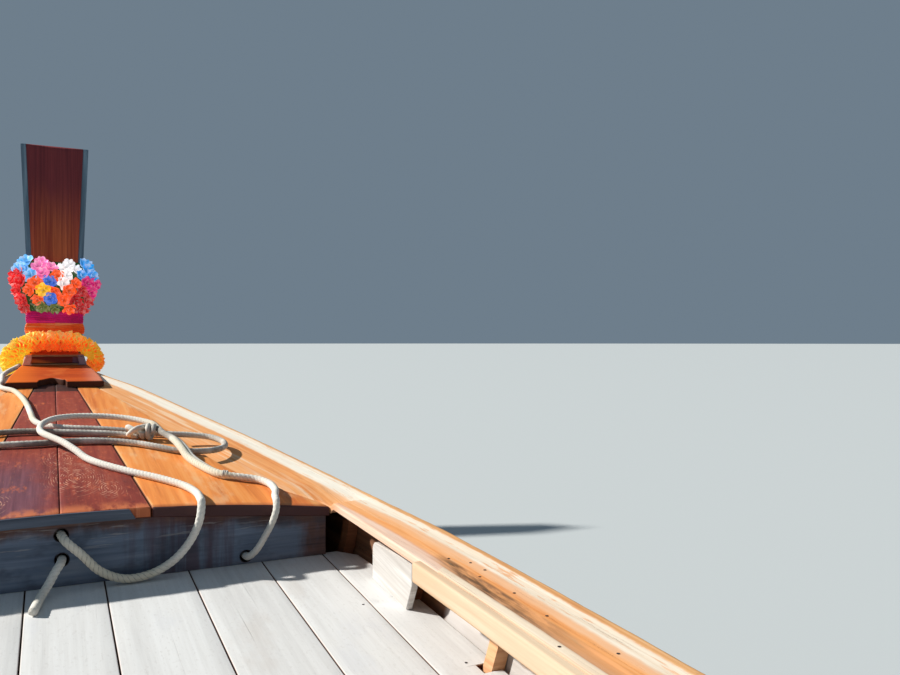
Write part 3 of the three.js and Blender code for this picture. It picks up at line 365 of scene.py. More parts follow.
def spread_uv(points, wrap):
    """UV in metres: the mean distance along the rows, then across the columns."""
    if wrap[0]:
        points = np.concatenate([points, points[:1]], 0)
    if wrap[1]:
        points = np.concatenate([points, points[:, :1]], 1)
    u = np.linalg.norm(np.diff(points, axis=0), axis=-1).mean(1)
    v = np.linalg.norm(np.diff(points, axis=1), axis=-1).mean(0)
    u, v = np.concatenate([[0], np.cumsum(u)]), np.concatenate([[0], np.cumsum(v)])
    return np.stack(np.meshgrid(u, v, indexing="ij"), -1)


ROUND = np.radians([0, 30, 60, 90])


def board(shell, place, us, low, high, thick, edge=.004, across=5, seed=0., scale=(1, 1)):
    """A board in its own measures: u along it, v across from low to high, w down from its face. Each of
    low and high is a number or a function of u.
    Its section is a rectangle whose two edges on the face are quarter rounds, and both ends are drawn in.
    scale is the metres in one unit of u and of v; the tint holds a seed, the point's height in the board's
    thickness, and its distance from the nearest edge in decimetres."""
    us = np.asarray(us, float)
    nip = edge / scale[0]
    us = np.concatenate([[us[0], us[0] + nip], us[1:-1], [us[-1] - nip, us[-1]]])[:, None]
    a, b = (np.broadcast_to(np.asarray(f(us) if callable(f) else f, float), us.shape) for f in (low, high))
    drawn = np.zeros(us.shape)
    drawn[[0, -1]] = edge * .8
    inset, fall = edge * (1 - np.cos(ROUND)), edge * (1 - np.sin(ROUND))
    left = a + (inset + drawn) / scale[1]
    right = b - (inset[::-1] + drawn) / scale[1]
    face = left[:, -1:] + (right[:, :1] - left[:, -1:]) * np.linspace(0, 1, across)[1:-1]
    v = np.concatenate([left[:, :1], left, face, right, right[:, -1:]], 1)
    w_face = np.concatenate([fall, np.zeros(across - 2), fall[::-1]]) + drawn
    w_foot = thick - drawn
    w = np.concatenate([w_foot, w_face, w_foot], 1)
    u = np.broadcast_to(us, v.shape)
    run = v * scale[1]
    run = np.concatenate([run[:, :1] - thick, run[:, 1:-1], run[:, -1:] + thick,
                          run[:, -1:] * 2 - run[:, :1] + thick], 1)
    uv = np.stack([np.broadcast_to(us * scale[0], run.shape), run], -1)
    margin = np.minimum(v - a, b - v) * scale[1] * 10
    tint = np.stack([np.full(v.shape, seed), 1 - w / thick, margin], -1)
    return shell.grid(place(u, v, w), uv, tint, (False, True), True)


def tube(shell, line, radius, sides, up=(0, 0, 1)):
    """A round carried along a line; radius is a number, or one for each point of the line."""
    line = np.asarray(line, float)
    _, normal, side = carried(line, up)
    angle = np.linspace(0, TAU, sides, endpoint=False)[None, :, None]
    radius = np.broadcast_to(np.asarray(radius, float), (len(line),))[:, None, None]
    points = line[:, None] + radius * (np.cos(angle) * normal[:, None] + np.sin(angle) * side[:, None])
    return shell.grid(points, wrap=(False, True), ends=True)


def laid_rope(shell, line, radius, pitch, depth, dirt, sides=18):
    """Three strands laid round each other: the radius is R (1.04 - depth + depth |cos|) round a helix.
    The tint holds how high the point is on its strand, and the dirt."""
    line = np.asarray(line, float)
    _, normal, side = carried(line)
    length = lengths(line)[:, None]
    angle = np.linspace(0, TAU, sides, endpoint=False)[None]
    high = np.abs(np.cos(1.5 * (angle - TAU * length / pitch))) ** .7
    radius = np.broadcast_to(np.asarray(radius, float), (len(line),))[:, None]
    reach = (radius * (1.04 - depth + depth * high))[..., None]
    points = line[:, None] + reach * (np.cos(angle)[..., None] * normal[:, None]
                                      + np.sin(angle)[..., None] * side[:, None])
    dirty = np.broadcast_to(np.broadcast_to(dirt, (len(line),))[:, None], high.shape)
    tint = np.stack([high, dirty, high * 0], -1)
    uv = np.stack(np.meshgrid(length[:, 0], np.linspace(0, TAU * ROPE / 2, sides + 1), indexing="ij"), -1)
    return shell.grid(points, uv, tint, (False, True), True)


def lathe(shell, start, end, profile, sides):
    """A profile of (distance along the axis, radius) pairs turned about the axis from start to end."""
    start, end = np.asarray(start, float), np.asarray(end, float)
    axis = unit(end - start)
    across = unit(np.cross(axis, (0, 0, 1) if abs(axis[2]) < .9 else (1, 0, 0)))
    other = np.cross(axis, across)
    angle = np.linspace(0, TAU, sides, endpoint=False)
    ring = np.cos(angle)[:, None] * across + np.sin(angle)[:, None] * other
    profile = np.asarray(profile, float)
    radius = np.maximum(profile[:, 1], 5e-4)[:, None, None]
    points = (start + profile[:, :1] * axis)[:, None] + radius * ring[None]
    return shell.grid(points, wrap=(False, True), ends=True)


def drum(shell, start, end, radius, edge=.003, sides=24):
    """A cylinder with its rims chamfered."""
    long = float(np.linalg.norm(np.subtract(end, start)))
    profile = [(0, radius - edge), (edge, radius), (long - edge, radius), (long, radius - edge)]
    return lathe(shell, start, end, profile, sides)


def block(shell, low, high, edge=.004, tint=(1, 1, 1)):
    """A box with chamfered edges, as rings of eight points from its foot to its head."""
    (x0, y0, z0), (x1, y1, z1) = low, high
    rings = []
    for z, inset in ((z0, edge), (z0 + edge, 0), (z1 - edge, 0), (z1, edge)):
        a, b, c, d = x0 + inset, x1 - inset, y0 + inset, y1 - inset
        rings.append([(a + edge, c, z), (b - edge, c, z), (b, c + edge, z), (b, d - edge, z),
                      (b - edge, d, z), (a + edge, d, z), (a, d - edge, z), (a, c + edge, z)])
    return shell.grid(np.array(rings), tint=tint, wrap=(False, True), ends=True)


def cutout(shell, outline, place, thick, edge=.003):
    """A flat piece with this outline: rings of it at the depths 0, edge, thick - edge and thick, the first
    and last drawn in by the edge. place turns (a, b, w) into a point."""
    outline = np.asarray(outline, float)
    ahead, back = np.roll(outline, -1, 0) - outline, outline - np.roll(outline, 1, 0)
    a, b = outline.T
    turn = np.sign((a * np.roll(b, -1) - b * np.roll(a, -1)).sum())
    inward = unit(unit(ahead) + unit(back))[:, ::-1] * (-turn, turn)
    rings = [(outline + inward * e, w) for e, w in ((edge, 0), (0, edge), (0, thick - edge), (edge, thick))]
    points = np.stack([place(p[:, 0], p[:, 1], w) for p, w in rings])
    uv = np.stack([np.concatenate([p, p[:1]]) for p, _ in rings])
    return shell.grid(points, uv, wrap=(False, True), ends=True)


def studs(shell, spots, ways, radius, proud, sides):
    """A low dome at each spot, its crown pointing each way."""
    profile = np.array([[-.001, 1], [proud * .5, 1], [proud, .55]])
    spots = np.atleast_2d(spots)
    ways = np.broadcast_to(unit(np.atleast_2d(np.asarray(ways, float))), spots.shape)
    for spot, way in zip(spots, ways):
        lathe(shell, spot, spot + way, profile * (1, radius), sides)
    return shell


# Finishes


def rgb(red, green, blue):
    """A display colour, 0 to 255, as the shader's linear light."""
    c = np.array([red, green, blue]) / 255
    linear = np.where(c <= .04045, c / 12.92, ((c + .055) / 1.055) ** 2.4)
    return tuple(float(v) for v in linear) + (1.0,)


class Value:
    """A socket that takes part in sums; each sum adds a Math node."""

    def __init__(self, finish, socket):
        self.finish, self.socket = finish, socket

    def math(self, operation, *others):
        return self.finish.node("Math", {"operation": operation}, dict(enumerate((self,) + others)))

    def __add__(self, other):
        return self.math("ADD", other)

    def __mul__(self, other):
        return self.math("MULTIPLY", other)

    def __sub__(self, other):
        return self.math("SUBTRACT", other)

    def __rsub__(self, other):
        return self.finish.node("Math", {"operation": "SUBTRACT"}, {0: other, 1: self})

    def __pow__(self, other):
        return self.math("POWER", other)

    def __abs__(self):
        return self.math("ABSOLUTE")

    __radd__, __rmul__ = __add__, __mul__

    def step(self, low, high):
        """0 below low and 1 above high, smooth between; swapped limits give the reverse."""
        ends = {"To Min": 0.0, "To Max": 1.0} if low < high else {"To Min": 1.0, "To Max": 0.0}
        ends |= {"Value": self, "From Min": min(low, high), "From Max": max(low, high)}
        return self.finish.node("MapRange", {"interpolation_type": "SMOOTHSTEP"}, ends)


class Finish:
    """A material for one of the record's slots; its node sums are written as expressions."""

    def __init__(self, slot, name=None, **constants):
        self.slot = slot
        self.material = bpy.data.materials.new(name or slot)
        self.material.use_nodes = True
        self.tree = self.material.node_tree
        self.shader = self.tree.nodes["Principled BSDF"]
        for key, value in constants.items():
            self.shader.inputs[key.replace("_", " ")].default_value = value

    def node(self, kind, settings, sockets, output=0):
        made = self.tree.nodes.new("ShaderNode" + kind)
        for key, value in settings.items():
            if key == "stops":
                ramp = made.color_ramp
                while len(ramp.elements) < len(value):
                    ramp.elements.new(1)
                for element, (position, tone) in zip(ramp.elements, value):
                    element.position, element.color = position, tone
            else:
                setattr(made, key, value)
        for key, value in sockets.items():
            if isinstance(value, Value):
                self.tree.links.new(value.socket, made.inputs[key])
            else:
                made.inputs[key].default_value = value
        return Value(self, made.outputs[output])

    def apart(self, value):
        outputs = self.node("SeparateXYZ", {}, {0: value}).socket.node.outputs
        return [Value(self, outputs[k]) for k in range(3)]

    def uv(self):
        return self.apart(self.node("UVMap", {"uv_map": "UVMap"}, {}))[:2]

    def place(self):
        return self.apart(self.node("TexCoord", {}, {}, "Object"))

    def tint(self):
        return self.node("Attribute", {"attribute_name": "tint"}, {}, "Color")

    def noise(self, x, y, z, detail=3, rough=.5, warp=0.):
        spot = self.node("CombineXYZ", {}, {0: x, 1: y, 2: z})
        return self.node("TexNoise", {}, {"Vector": spot, "Scale": 1.0, "Detail": detail,
                                          "Roughness": rough, "Distortion": warp})

    def mix(self, factor, a, b):
        return self.node("Mix", {"data_type": "RGBA"}, {0: factor, 6: a, 7: b}, 2)

    def ramp(self, value, *stops):
        return self.node("ValToRGB", {"stops": stops}, {0: value})

    def feed(self, **channels):
        for key, value in channels.items():
            self.tree.links.new(value.socket, self.shader.inputs[key.replace("_", " ")])
        return self

    def bump(self, height, distance):
        """Height, in units of distance metres, as bumps on the surface."""
        sockets = {"Strength": 1.0, "Distance": distance, "Height": height}
        return self.feed(Normal=self.node("Bump", {}, sockets))


# Woods: each reads the board's own length u and breadth v, and the board's seed


def grain(f, u, v, seed, streak, figure):
    """Fine streaks drawn out along the board, and slow figure across it; both from 0 to 1."""
    fine = f.noise(u * 2.2, v * streak, seed * 17, 6, .62)
    slow = f.noise(u * .8, v * figure, seed * 31 + 4, 3, .5, .5)
    return fine, slow


def timber(slot, name, dark, middle, light, figure, spots, roughness, relief=.0006, axes=None, stain=None):
    """Wood with streaked grain, slow figure, scattered stains and darker edges. axes names the boat's
    measures that run along, across and through a plain node, which has no UV map of its own."""
    f = Finish(slot, name, Roughness=roughness, Specular_IOR_Level=.3)
    if axes:
        place = f.place()
        u, v, across = (place["xyz".index(a)] for a in axes)
        seed, margin = across * 0 + .37, across * 0 + 1
    else:
        u, v = f.uv()
        seed, _, margin = f.apart(f.tint())
    fine, slow = grain(f, u, v, seed, 70, figure)
    rings = ((v * 95 + f.noise(u * .7, v * 2.5, seed * 9 + 1, 2) * 26).math("SINE") * .5 + .5) ** 1.5
    tone = fine * .55 + slow * .5 + rings * .18 - .12
    tone = tone + (f.noise(seed * 40, seed * 23, .5, 0) - .5) * .5
    colour = f.ramp(tone, (.25, dark), (.52, middle), (.8, light))
    blotch = f.noise(u * 3.1, v * 9, seed * 11 + 7, 4, .6).step(.62, .74) * spots
    colour = f.mix(blotch, colour, stain or dark)
    knots = f.noise(u * 4.3 + 3, v * 16, seed * 5 + 2, 1).step(.77, .84)
    colour = f.mix(knots * .6, colour, dark)
    f.feed(Base_Color=f.mix(margin.step(.06, 0) * .5, colour, dark))
    cracks = f.noise(u * 1.3, v * 160, seed * 3 + 5, 3, .6).step(.63, .72)
    f.bump(fine * .7 - cracks * 1.2 + slow * .4, relief)
    return f


def cap_wood():
    """Gunwale cap in bands by the distance d from its outer edge: a brownish rim, a cream strip that is
    broad and pale beside the deck and narrow aft of it, an orange band with bleached places, a mouldy
    groove, and a pinkish inner strip. Aft of the deck a salmon band lies inside the cream strip."""
    f = Finish("varnished_wood", "cap_wood", Specular_IOR_Level=.3)
    u, v = f.uv()
    seed = f.apart(f.tint())[0]
    fine, slow = grain(f, u, v, seed, 85, 14)
    sway = (f.noise(u * 1.7, v * 3, seed * 5, 3) - .5) * .018
    d = v + sway + (f.noise(u * 26, v * 40, seed, 4, .6) - .5) * .010
    aft = u.step(2.3, 1.5)
    orange = f.ramp(fine * .6 + slow * .55 - .08, (.28, rgb(206, 118, 54)), (.5, rgb(228, 158, 96)),
                    (.76, rgb(234, 186, 142)))
    bleached = f.noise(u * 1.6, v * 24, seed + 3, 4, .6).step(.52, .66)
    orange = f.mix(bleached * .55, orange, rgb(228, 184, 146))
    rim = f.ramp(fine * .7 + slow * .5 - .08, (.28, rgb(184, 118, 66)), (.55, rgb(216, 164, 110)),
                 (.78, rgb(226, 190, 152)))
    cream = f.ramp(fine * .8 + slow * .3 - .05, (.25, rgb(222, 196, 166)), (.52, rgb(234, 220, 200)),
                   (.8, rgb(240, 234, 222)))
    pink = f.ramp(fine * .7 + slow * .4 - .05, (.25, rgb(206, 166, 142)), (.5, rgb(222, 194, 176)),
                  (.78, rgb(232, 214, 202)))
    patchy = f.noise(u * 6, v * 60, seed + 9, 4, .65).step(.34, .44)
    broad = aft * -.030 + .112
    narrow = aft * .010
    in_cream = (d - narrow).step(.014, .024) * (d - broad).step(.008, -.010)
    colour = f.mix((d - narrow).step(.022, .014), orange, rim)
    salmon = (d - broad).step(-.010, .006) * (d - broad).step(.034, .012) * aft
    colour = f.mix(salmon * .75, colour, rgb(230, 184, 146))
    colour = f.mix(in_cream * (patchy * .7 + .3), colour, cream)
    core = d.step(.034, .046) * (d - broad).step(-.006, -.026) * (1 - aft)
    colour = f.mix(core * .7, colour, rgb(242, 236, 222))
    streak = f.noise(u * 1.3, v * 34, seed + 12, 3, .55).step(.54, .64) * d.step(.11, .13) * (1 - aft)
    colour = f.mix(streak * .7, colour, rgb(236, 206, 172))
    colour = f.mix(d.step(.150, .170) * u.step(1.95, 1.75) * .85, colour, pink)
    mould = f.noise(u * 4, v * 38, seed + 2, 5, .65)
    in_groove = v.step(.126, .137) * v.step(.181, .172) * u.step(1.16, 1.02)
    bare = (mould.step(.36, .60) * u.step(.35, .75) * .8 + .2 * mould).math("MINIMUM", 1)
    colour = f.mix(in_groove * .8, colour, rgb(206, 146, 96))
    colour = f.mix(in_groove * bare, colour, rgb(78, 56, 38))
    colour = f.mix(in_groove * mould.step(.58, .68) * .8 * u.step(.3, .8), colour, rgb(126, 128, 104))
    stain = f.noise(u * 3.3, v * 26, seed + 6, 4, .6).step(.68, .74)
    colour = f.mix(stain * .35, colour, rgb(130, 78, 56))
    worn = f.noise(u * 5, v * 22, seed + 15, 4, .6).step(.62, .68) * v.step(.035, .015) * u.step(.75, .35)
    colour = f.mix(worn * .9, colour, rgb(112, 58, 34))
    f.feed(Base_Color=colour, Roughness=.6 + fine * .2)
    cracks = f.noise(u * 1.2, v * 190, seed + 4, 3, .6).step(.62, .70)
    f.bump(fine * .7 - cracks + slow * .5, .0008)
    return f


# Trodden places on the deck, where short pale scratches curl: x, y, reach
TRODDEN = ((2.30, -.055, .30), (2.60, -.02, .22), (2.14, -.16, .16), (2.05, .20, .16))


def deck_redwood():
    """Dark red-brown deck planks: purple to port, warmer and worn towards the aft edge, and scratches whose
    lines follow circles round the trodden places. Under the breasthook and just aft of it they are painted
    near black, as its shade."""
    f = Finish("redwood", "deck_redwood", Specular_IOR_Level=.3)
    u, v = f.uv()
    x, y, _ = f.place()
    seed, _, margin = f.apart(f.tint())
    fine, slow = grain(f, u, v, seed, 60, 7)
    colour = f.ramp(fine * .55 + slow * .6 - .07, (.25, rgb(98, 32, 28)), (.5, rgb(136, 52, 38)),
                    (.75, rgb(162, 76, 52)))
    mottle = f.noise(x * 22, y * 46, .6, 4, .6)
    colour = f.mix(mottle.step(.56, .70) * .5, colour, rgb(190, 92, 62))
    colour = f.mix(mottle.step(.42, .30) * .4, colour, rgb(80, 26, 28))
    side = f.noise(x * 1.6, y * 2.4, .8, 4, .6)
    purple = (y + (side - .5) * .45).step(-.02, .14) * x.step(2.75, 2.3)
    purple = purple.math("MAXIMUM", side.step(.60, .72) * .5)
    colour = f.mix(purple * .75, colour, f.ramp(fine, (.3, rgb(70, 44, 62)), (.7, rgb(120, 82, 98))))
    worn = f.noise(x * 5.2, y * 13, 8.8, 5, .65)
    colour = f.mix(worn.step(.60, .70) * .7, colour, rgb(204, 104, 60))
    edge = (x - DECK_AFT).step(.11, .02) * worn.step(.40, .54)
    colour = f.mix(edge * .75, colour, rgb(206, 116, 70))
    haze = f.noise(x * 5, y * 7, .4, 3, .6)
    scratches = None
    for centre_x, centre_y, reach in TRODDEN:
        ahead, across = x - centre_x, y - centre_y
        r = (across * across * 5 + ahead * ahead) ** .5
        way = across.math("ARCTAN2", ahead)
        rings = (r * 330 + haze * 16 + way * .7).math("SINE")
        broken = f.noise(way * 2.6, r * 26, centre_x * 7, 3, .6).step(.46, .56)
        line = rings.step(.35, .85) * broken * r.step(reach, reach * .3)
        scratches = line if scratches is None else scratches.math("MAXIMUM", line)
    keep = f.noise(x * 16, y * 26, .2, 2).step(.40, .52)
    colour = f.mix(scratches * keep * .7, colour, rgb(232, 178, 148))
    hairs = f.noise(x * 5, y * 210, seed + 6, 2, .5, .6).step(.64, .72) * haze.step(.46, .62)
    colour = f.mix(hairs * .5, colour, rgb(214, 146, 112))
    colour = f.mix(margin.step(.05, 0.) * abs(y).step(.02, .04) * .8, colour, rgb(60, 24, 22))
    # painted shade: near black under the breasthook and in a band just aft of it
    colour = f.mix((x + mottle * .02).step(4.12, 4.15) * .9, colour, rgb(34, 20, 18))
    f.feed(Base_Color=colour, Roughness=.45 + worn * .25 + scratches * .2)
    f.bump(fine * .5 + slow * .4 - scratches * .5, .0007)
    return f


def deck_orange():
    """Bright orange varnish over streaked grain, with pale bruises; it is darker near its aft edge, and its
    aft end face is painted dark as shade.
    """
    f = Finish("varnished_wood", "deck_orange", Specular_IOR_Level=.3)
    u, v = f.uv()
    x, y, _ = f.place()
    seed, _, margin = f.apart(f.tint())
    fine, slow = grain(f, u, v, seed, 55, 8)
    colour = f.ramp(fine * .55 + slow * .65 - .1, (.25, rgb(196, 98, 34)), (.5, rgb(234, 144, 68)),
                    (.76, rgb(244, 176, 108)))
    pale = f.noise(u * 2.4, v * 9, seed + 5, 5, .65).step(.54, .68)
    colour = f.mix(pale * .5, colour, rgb(234, 190, 142))
    dark = f.noise(u * 1.5, v * 30, seed + 9, 4, .6).step(.6, .72)
    colour = f.mix(dark * .5, colour, rgb(166, 84, 34))
    red = f.noise(u * 1.2, v * 12, seed + 2, 4, .6).step(.60, .74)
    colour = f.mix(red * .35, colour, rgb(198, 86, 40))
    specks = f.noise(u * 60, v * 60, seed, 2).step(.70, .78)
    colour = f.mix(specks * .5, colour, rgb(240, 212, 176))
    rim = margin.step(.12, .03) * f.noise(u * 6, v * 6, .7, 3).step(.4, .6)
    colour = f.mix(rim * .6, colour, rgb(236, 184, 118))
    colour = f.mix(margin.step(.03, .008) * .9, colour, rgb(92, 44, 24))
    near = (x - DECK_AFT) + (f.noise(y * 9, y * 3, .4, 3) - .5) * .03
    colour = f.mix(near.step(.040, .012) * .55, colour, rgb(150, 74, 44))
    # painted shade on the aft end face
    colour = f.mix((x - DECK_AFT).step(.0060, .0035), colour, rgb(74, 44, 44))
    f.feed(Base_Color=colour, Roughness=.5 + fine * .2)
    f.bump(fine * .6 + slow * .4, .0007)
    return f


FLOOR_KNOTS = ((1.155, -.115, .014), (1.105, -.062, .008), (-.4, .21, .012), (.2, .5, .013),
               (-1.6, -.25, .012), (.72, -.53, .007))


def floor_wood():
    """Sun-bleached grey boards: soft fine streaks, a few knots, dark red-brown sides, and a painted
    highlight along their edges.
    """
    f = Finish("grey_wood", "floor_wood", Roughness=.85, Specular_IOR_Level=.3)
    u, v = f.uv()
    x, y, _ = f.place()
    seed, height, margin = f.apart(f.tint())
    fine, slow = grain(f, u, v, seed, 60, 8)
    tone = fine * .6 + slow * .45 - .04 + (f.noise(seed * 40, seed * 23, .5, 0) - .5) * .25
    colour = f.ramp(tone, (.22, rgb(192, 191, 190)), (.5, rgb(211, 211, 210)), (.78, rgb(224, 225, 225)))
    patch = f.noise(u * 1.7, v * 5, seed + 4, 5, .6)
    colour = f.mix(patch.step(.58, .72) * .3, colour, rgb(190, 180, 172))
    colour = f.mix(patch.step(.42, .30) * .35, colour, rgb(198, 200, 206))
    mottle = f.noise(u * 55, v * 110, seed + 7, 3, .6)
    colour = f.mix(mottle.step(.55, .7) * .22, colour, rgb(176, 172, 168))
    knots = None
    for knot_x, knot_y, size in FLOOR_KNOTS:
        far = ((x - knot_x) * (x - knot_x) * .35 + (y - knot_y) * (y - knot_y)) ** .5
        knot = (far + (mottle - .5) * .02).step(size, size * .3)
        knots = knot if knots is None else knots.math("MAXIMUM", knot)
    colour = f.mix(knots * .75, colour, rgb(104, 84, 74))
    # painted highlight: a paler band along each board's edges
    colour = f.mix(margin.step(.03, .008) * .45, colour, rgb(214, 196, 184))
    colour = f.mix(height.step(.95, .80), colour, rgb(92, 46, 36))
    cracks = f.noise(u * 1.1, v * 170, seed + 5, 3, .6).step(.68, .76)
    colour = f.mix(cracks * .2, colour, rgb(150, 142, 136))
    f.feed(Base_Color=colour)
    f.bump(fine * .6 - cracks * .8 + slow * .4, .0007)
    return f


def bulkhead_wood():
    """Blue-grey boards: brown varnish that runs down from the top and covers the starboard end, a purple
    stain to starboard of the middle, a scraped pale band, and dark rims round the three rope holes."""
    f = Finish("grey_wood", "bulkhead_wood", Roughness=.85, Specular_IOR_Level=.25)
    x, y, z = f.place()
    fine, slow = grain(f, y, z, x * 0 + .3, 60, 10)
    colour = f.ramp(fine * .6 + slow * .5 - .05, (.25, rgb(76, 88, 106)), (.5, rgb(108, 122, 142)),
                    (.76, rgb(140, 152, 168)))
    ragged = f.noise(y * 14, z * 5, .5, 4, .6)
    upright = f.noise(y * 26, z * 1.5, .9, 4, .6)
    drop = (y * y * -.075 + .686) - z
    brown = (drop + (ragged - .5) * .09).step(.060, .012)
    brown = brown.math("MAXIMUM", (y + (ragged - .5) * .2).step(-.78, -.86) * .95)
    colour = f.mix(brown * .85, colour, f.ramp(fine, (.3, rgb(58, 36, 26)), (.7, rgb(116, 74, 48))))
    purple = y + .37 + (upright - .5) * .3
    purple = (purple * purple).step(.045, .004) * upright.step(.35, .6)
    colour = f.mix(purple * .7, colour, rgb(82, 60, 66))
    pale = f.noise(y * 2.4, z * 9, .2, 4, .6).step(.58, .70)
    colour = f.mix(pale * .35, colour, rgb(150, 156, 164))
    scraped = f.noise(y * 7, z * 90, .6, 4, .6).step(.58, .68) * z.step(.56, .62) * z.step(.70, .66)
    colour = f.mix(scraped * .5, colour, rgb(166, 164, 162))
    cloud = f.noise(y * 5, z * 9, .1, 4, .6)
    colour = f.mix(cloud.step(.50, .36) * .5, colour, rgb(62, 68, 80))
    for hole_y, hole_z in ((-.004, .648), (-.006, .568), (-.6, .509)):
        dy, dz = y - hole_y, z - hole_z
        r = (dy * dy + dz * dz) ** .5
        colour = f.mix((r + (ragged - .5) * .006).step(.025, .021), colour, rgb(40, 28, 24))
    colour = f.mix((z - .47).step(.04, 0) * .4, colour, rgb(70, 62, 62))
    f.feed(Base_Color=colour)
    cracks = f.noise(y * 1.1, z * 150, .7, 3, .6).step(.63, .71)
    f.bump(fine * .8 - cracks * 1.2, .0008)
    return f


def planking_wood():
    """Oiled outside with dark seams and a stained waterline, painted bottom; inside, white paint that stops
    where the fore well's bare sides begin."""
    f = Finish("hull_wood", "planking_wood", Roughness=.55)
    u, v = f.uv()
    x, y, z = f.place()
    seed, height, margin = f.apart(f.tint())
    fine, slow = grain(f, u, v, seed, 60, 9)
    colour = f.ramp(fine * .55 + slow * .5, (.25, rgb(92, 46, 26)), (.5, rgb(140, 76, 42)),
                    (.78, rgb(184, 112, 66)))
    worn = f.noise(u * 1.4, v * 5, seed + 3, 5, .62)
    colour = f.mix(worn.step(.58, .7) * .5, colour, rgb(196, 140, 98))
    paint = f.ramp(worn * .7 + fine * .3, (.3, rgb(104, 34, 28)), (.6, rgb(140, 52, 40)),
                   (.8, rgb(150, 84, 66)))
    line = z + (f.noise(x * 3, y * 3, z * 9, 4, .6) - .5) * .012
    colour = f.mix(line.step(.062, .058), colour, paint)
    scum = line.step(.075, .0) * f.noise(x * 9, y * 9, z * 4, 5, .7).step(.4, .62)
    colour = f.mix(scum * .7, colour, rgb(96, 96, 70))
    drips = f.noise(x * 26, y * 26, z * 2.2, 4, .6).step(.6, .74) * (z.step(.6, .3) * .5 + .2)
    colour = f.mix(drips, colour, rgb(60, 36, 26))
    colour = f.mix(margin.step(.05, .01) * .85, colour, rgb(46, 26, 20))
    white = f.ramp(worn * .6 + fine * .4, (.3, rgb(164, 156, 148)), (.6, rgb(196, 192, 190)))
    chipped = f.noise(u * 5, v * 12, seed + 8, 5, .65).step(.64, .68)
    white = f.mix(chipped * .5, white, rgb(150, 116, 92))
    bare = f.ramp(fine * .6 + slow * .4, (.3, rgb(72, 44, 30)), (.5, rgb(112, 74, 50)),
                  (.7, rgb(146, 104, 74)))
    white = f.mix((x + (worn - .5) * .03).step(1.20, 1.24), white, bare)
    colour = f.mix(height.step(.6, .4), colour, white)
    f.feed(Base_Color=colour, Roughness=.45 + fine * .25)
    f.bump(fine * .5 + slow * .5 - margin.step(.05, .0) * 1.5, .0012)
    return f


def ledge_wood():
    """New wood, peach to cream, with a broad grain, a bluish stain, and a more orange lower edge."""
    f = Finish("new_wood", "ledge_wood", Roughness=.7, Specular_IOR_Level=.3)
    u, v = f.uv()
    seed = f.apart(f.tint())[0]
    fine, slow = grain(f, u, v, seed, 60, 16)
    colour = f.ramp(fine * .5 + slow * .6 - .05, (.25, rgb(196, 166, 136)), (.5, rgb(214, 192, 164)),
                    (.76, rgb(222, 208, 190)))
    warm = v.step(.044, .060) * (slow * .6 + .3)
    colour = f.mix(warm, colour, rgb(204, 154, 104))
    colour = f.mix(u.step(.75, 1.10) * .5, colour, rgb(208, 170, 134))
    spot = f.noise(u * 4.2, v * 14, seed * 7 + 3, 3, .5).step(.66, .76)
    colour = f.mix(spot * .4, colour, rgb(164, 154, 150))
    f.feed(Base_Color=colour)
    f.bump(fine * .6 + slow * .3, .0005)
    return f


def prow_wood():
    """Mahogany in fine upright streaks: dark purple at the top, orange low down in the middle."""
    f = Finish("redwood", "prow_redwood", Roughness=.6, Specular_IOR_Level=.2)
    _, y, z = f.place()
    fine = f.noise(z * 1.6, y * 95, .3, 5, .62)
    slow = f.noise(z * .7, y * 18, .8, 4, .55, .4)
    low = (z + (slow - .5) * .5).step(2.45, 1.75)
    dark = f.mix(low, rgb(104, 44, 50), rgb(158, 64, 44))
    light = f.mix(low, rgb(140, 62, 64), rgb(234, 112, 72))
    middle = (y * y + (slow - .5) * .01).step(.022, .002)
    light = f.mix(middle * low * .7, light, rgb(214, 124, 66))
    colour = f.mix((fine * .6 + slow * .55 - .07).step(.3, .72), dark, light)
    line = f.noise(z * 2.2, y * 150, .5, 3, .6).step(.60, .70)
    colour = f.mix(line * .35, colour, rgb(84, 30, 28))
    f.feed(Base_Color=colour)
    f.bump(fine * .7 + slow * .4, .0006)
    return f


def breasthook_wood():
    """Bright orange varnish, brightest to port, with a painted pinkish glare to starboard; its edges are
    dark brown.
    """
    f = Finish("varnished_wood", "breasthook_wood", Roughness=.6, Specular_IOR_Level=.2)
    x, y, _ = f.place()
    fine, slow = grain(f, y, x, x * 0 + .3, 60, 8)
    colour = f.ramp(fine * .6 + slow * .5 - .05, (.25, rgb(150, 50, 4)), (.5, rgb(188, 72, 10)),
                    (.76, rgb(214, 100, 28)))
    blotch = f.noise(y * 7, x * 9, .4, 4, .6).step(.52, .66)
    colour = f.mix(blotch * .35, colour, rgb(222, 120, 52))
    colour = f.mix(y.step(.05, .22) * .6, colour, rgb(240, 120, 20))
    # painted glare: pinkish towards starboard
    colour = f.mix(y.step(-.12, -.22) * .4, colour, rgb(196, 110, 92))
    colour = f.mix((y + blotch * .03).step(-.15, -.24) * .7, colour, rgb(214, 136, 106))
    height = f.apart(f.tint())[1]
    colour = f.mix(height.step(.85, .6), colour, f.mix(fine, rgb(56, 26, 16), rgb(104, 54, 32)))
    f.feed(Base_Color=colour)
    f.bump(fine * .6 + slow * .4, .0007)
    return f


def rib_wood():
    """Sawn frames: brown under the deck and in the fore well, paler peach further aft."""
    f = Finish("hull_wood", "rib_wood", Roughness=.7, Specular_IOR_Level=.3)
    x, y, z = f.place()
    fine, slow = grain(f, y, z, x * .2, 60, 9)
    brown = f.ramp(fine * .6 + slow * .5 - .05, (.25, rgb(70, 40, 26)), (.5, rgb(112, 68, 42)),
                   (.76, rgb(156, 102, 66)))
    peach = f.ramp(fine * .6 + slow * .5 - .05, (.25, rgb(164, 104, 66)), (.5, rgb(208, 158, 116)),
                   (.76, rgb(230, 194, 156)))
    f.feed(Base_Color=f.mix(x.step(1.3, 1.2), brown, peach))
    f.bump(fine * .7 + slow * .4, .0008)
    return f


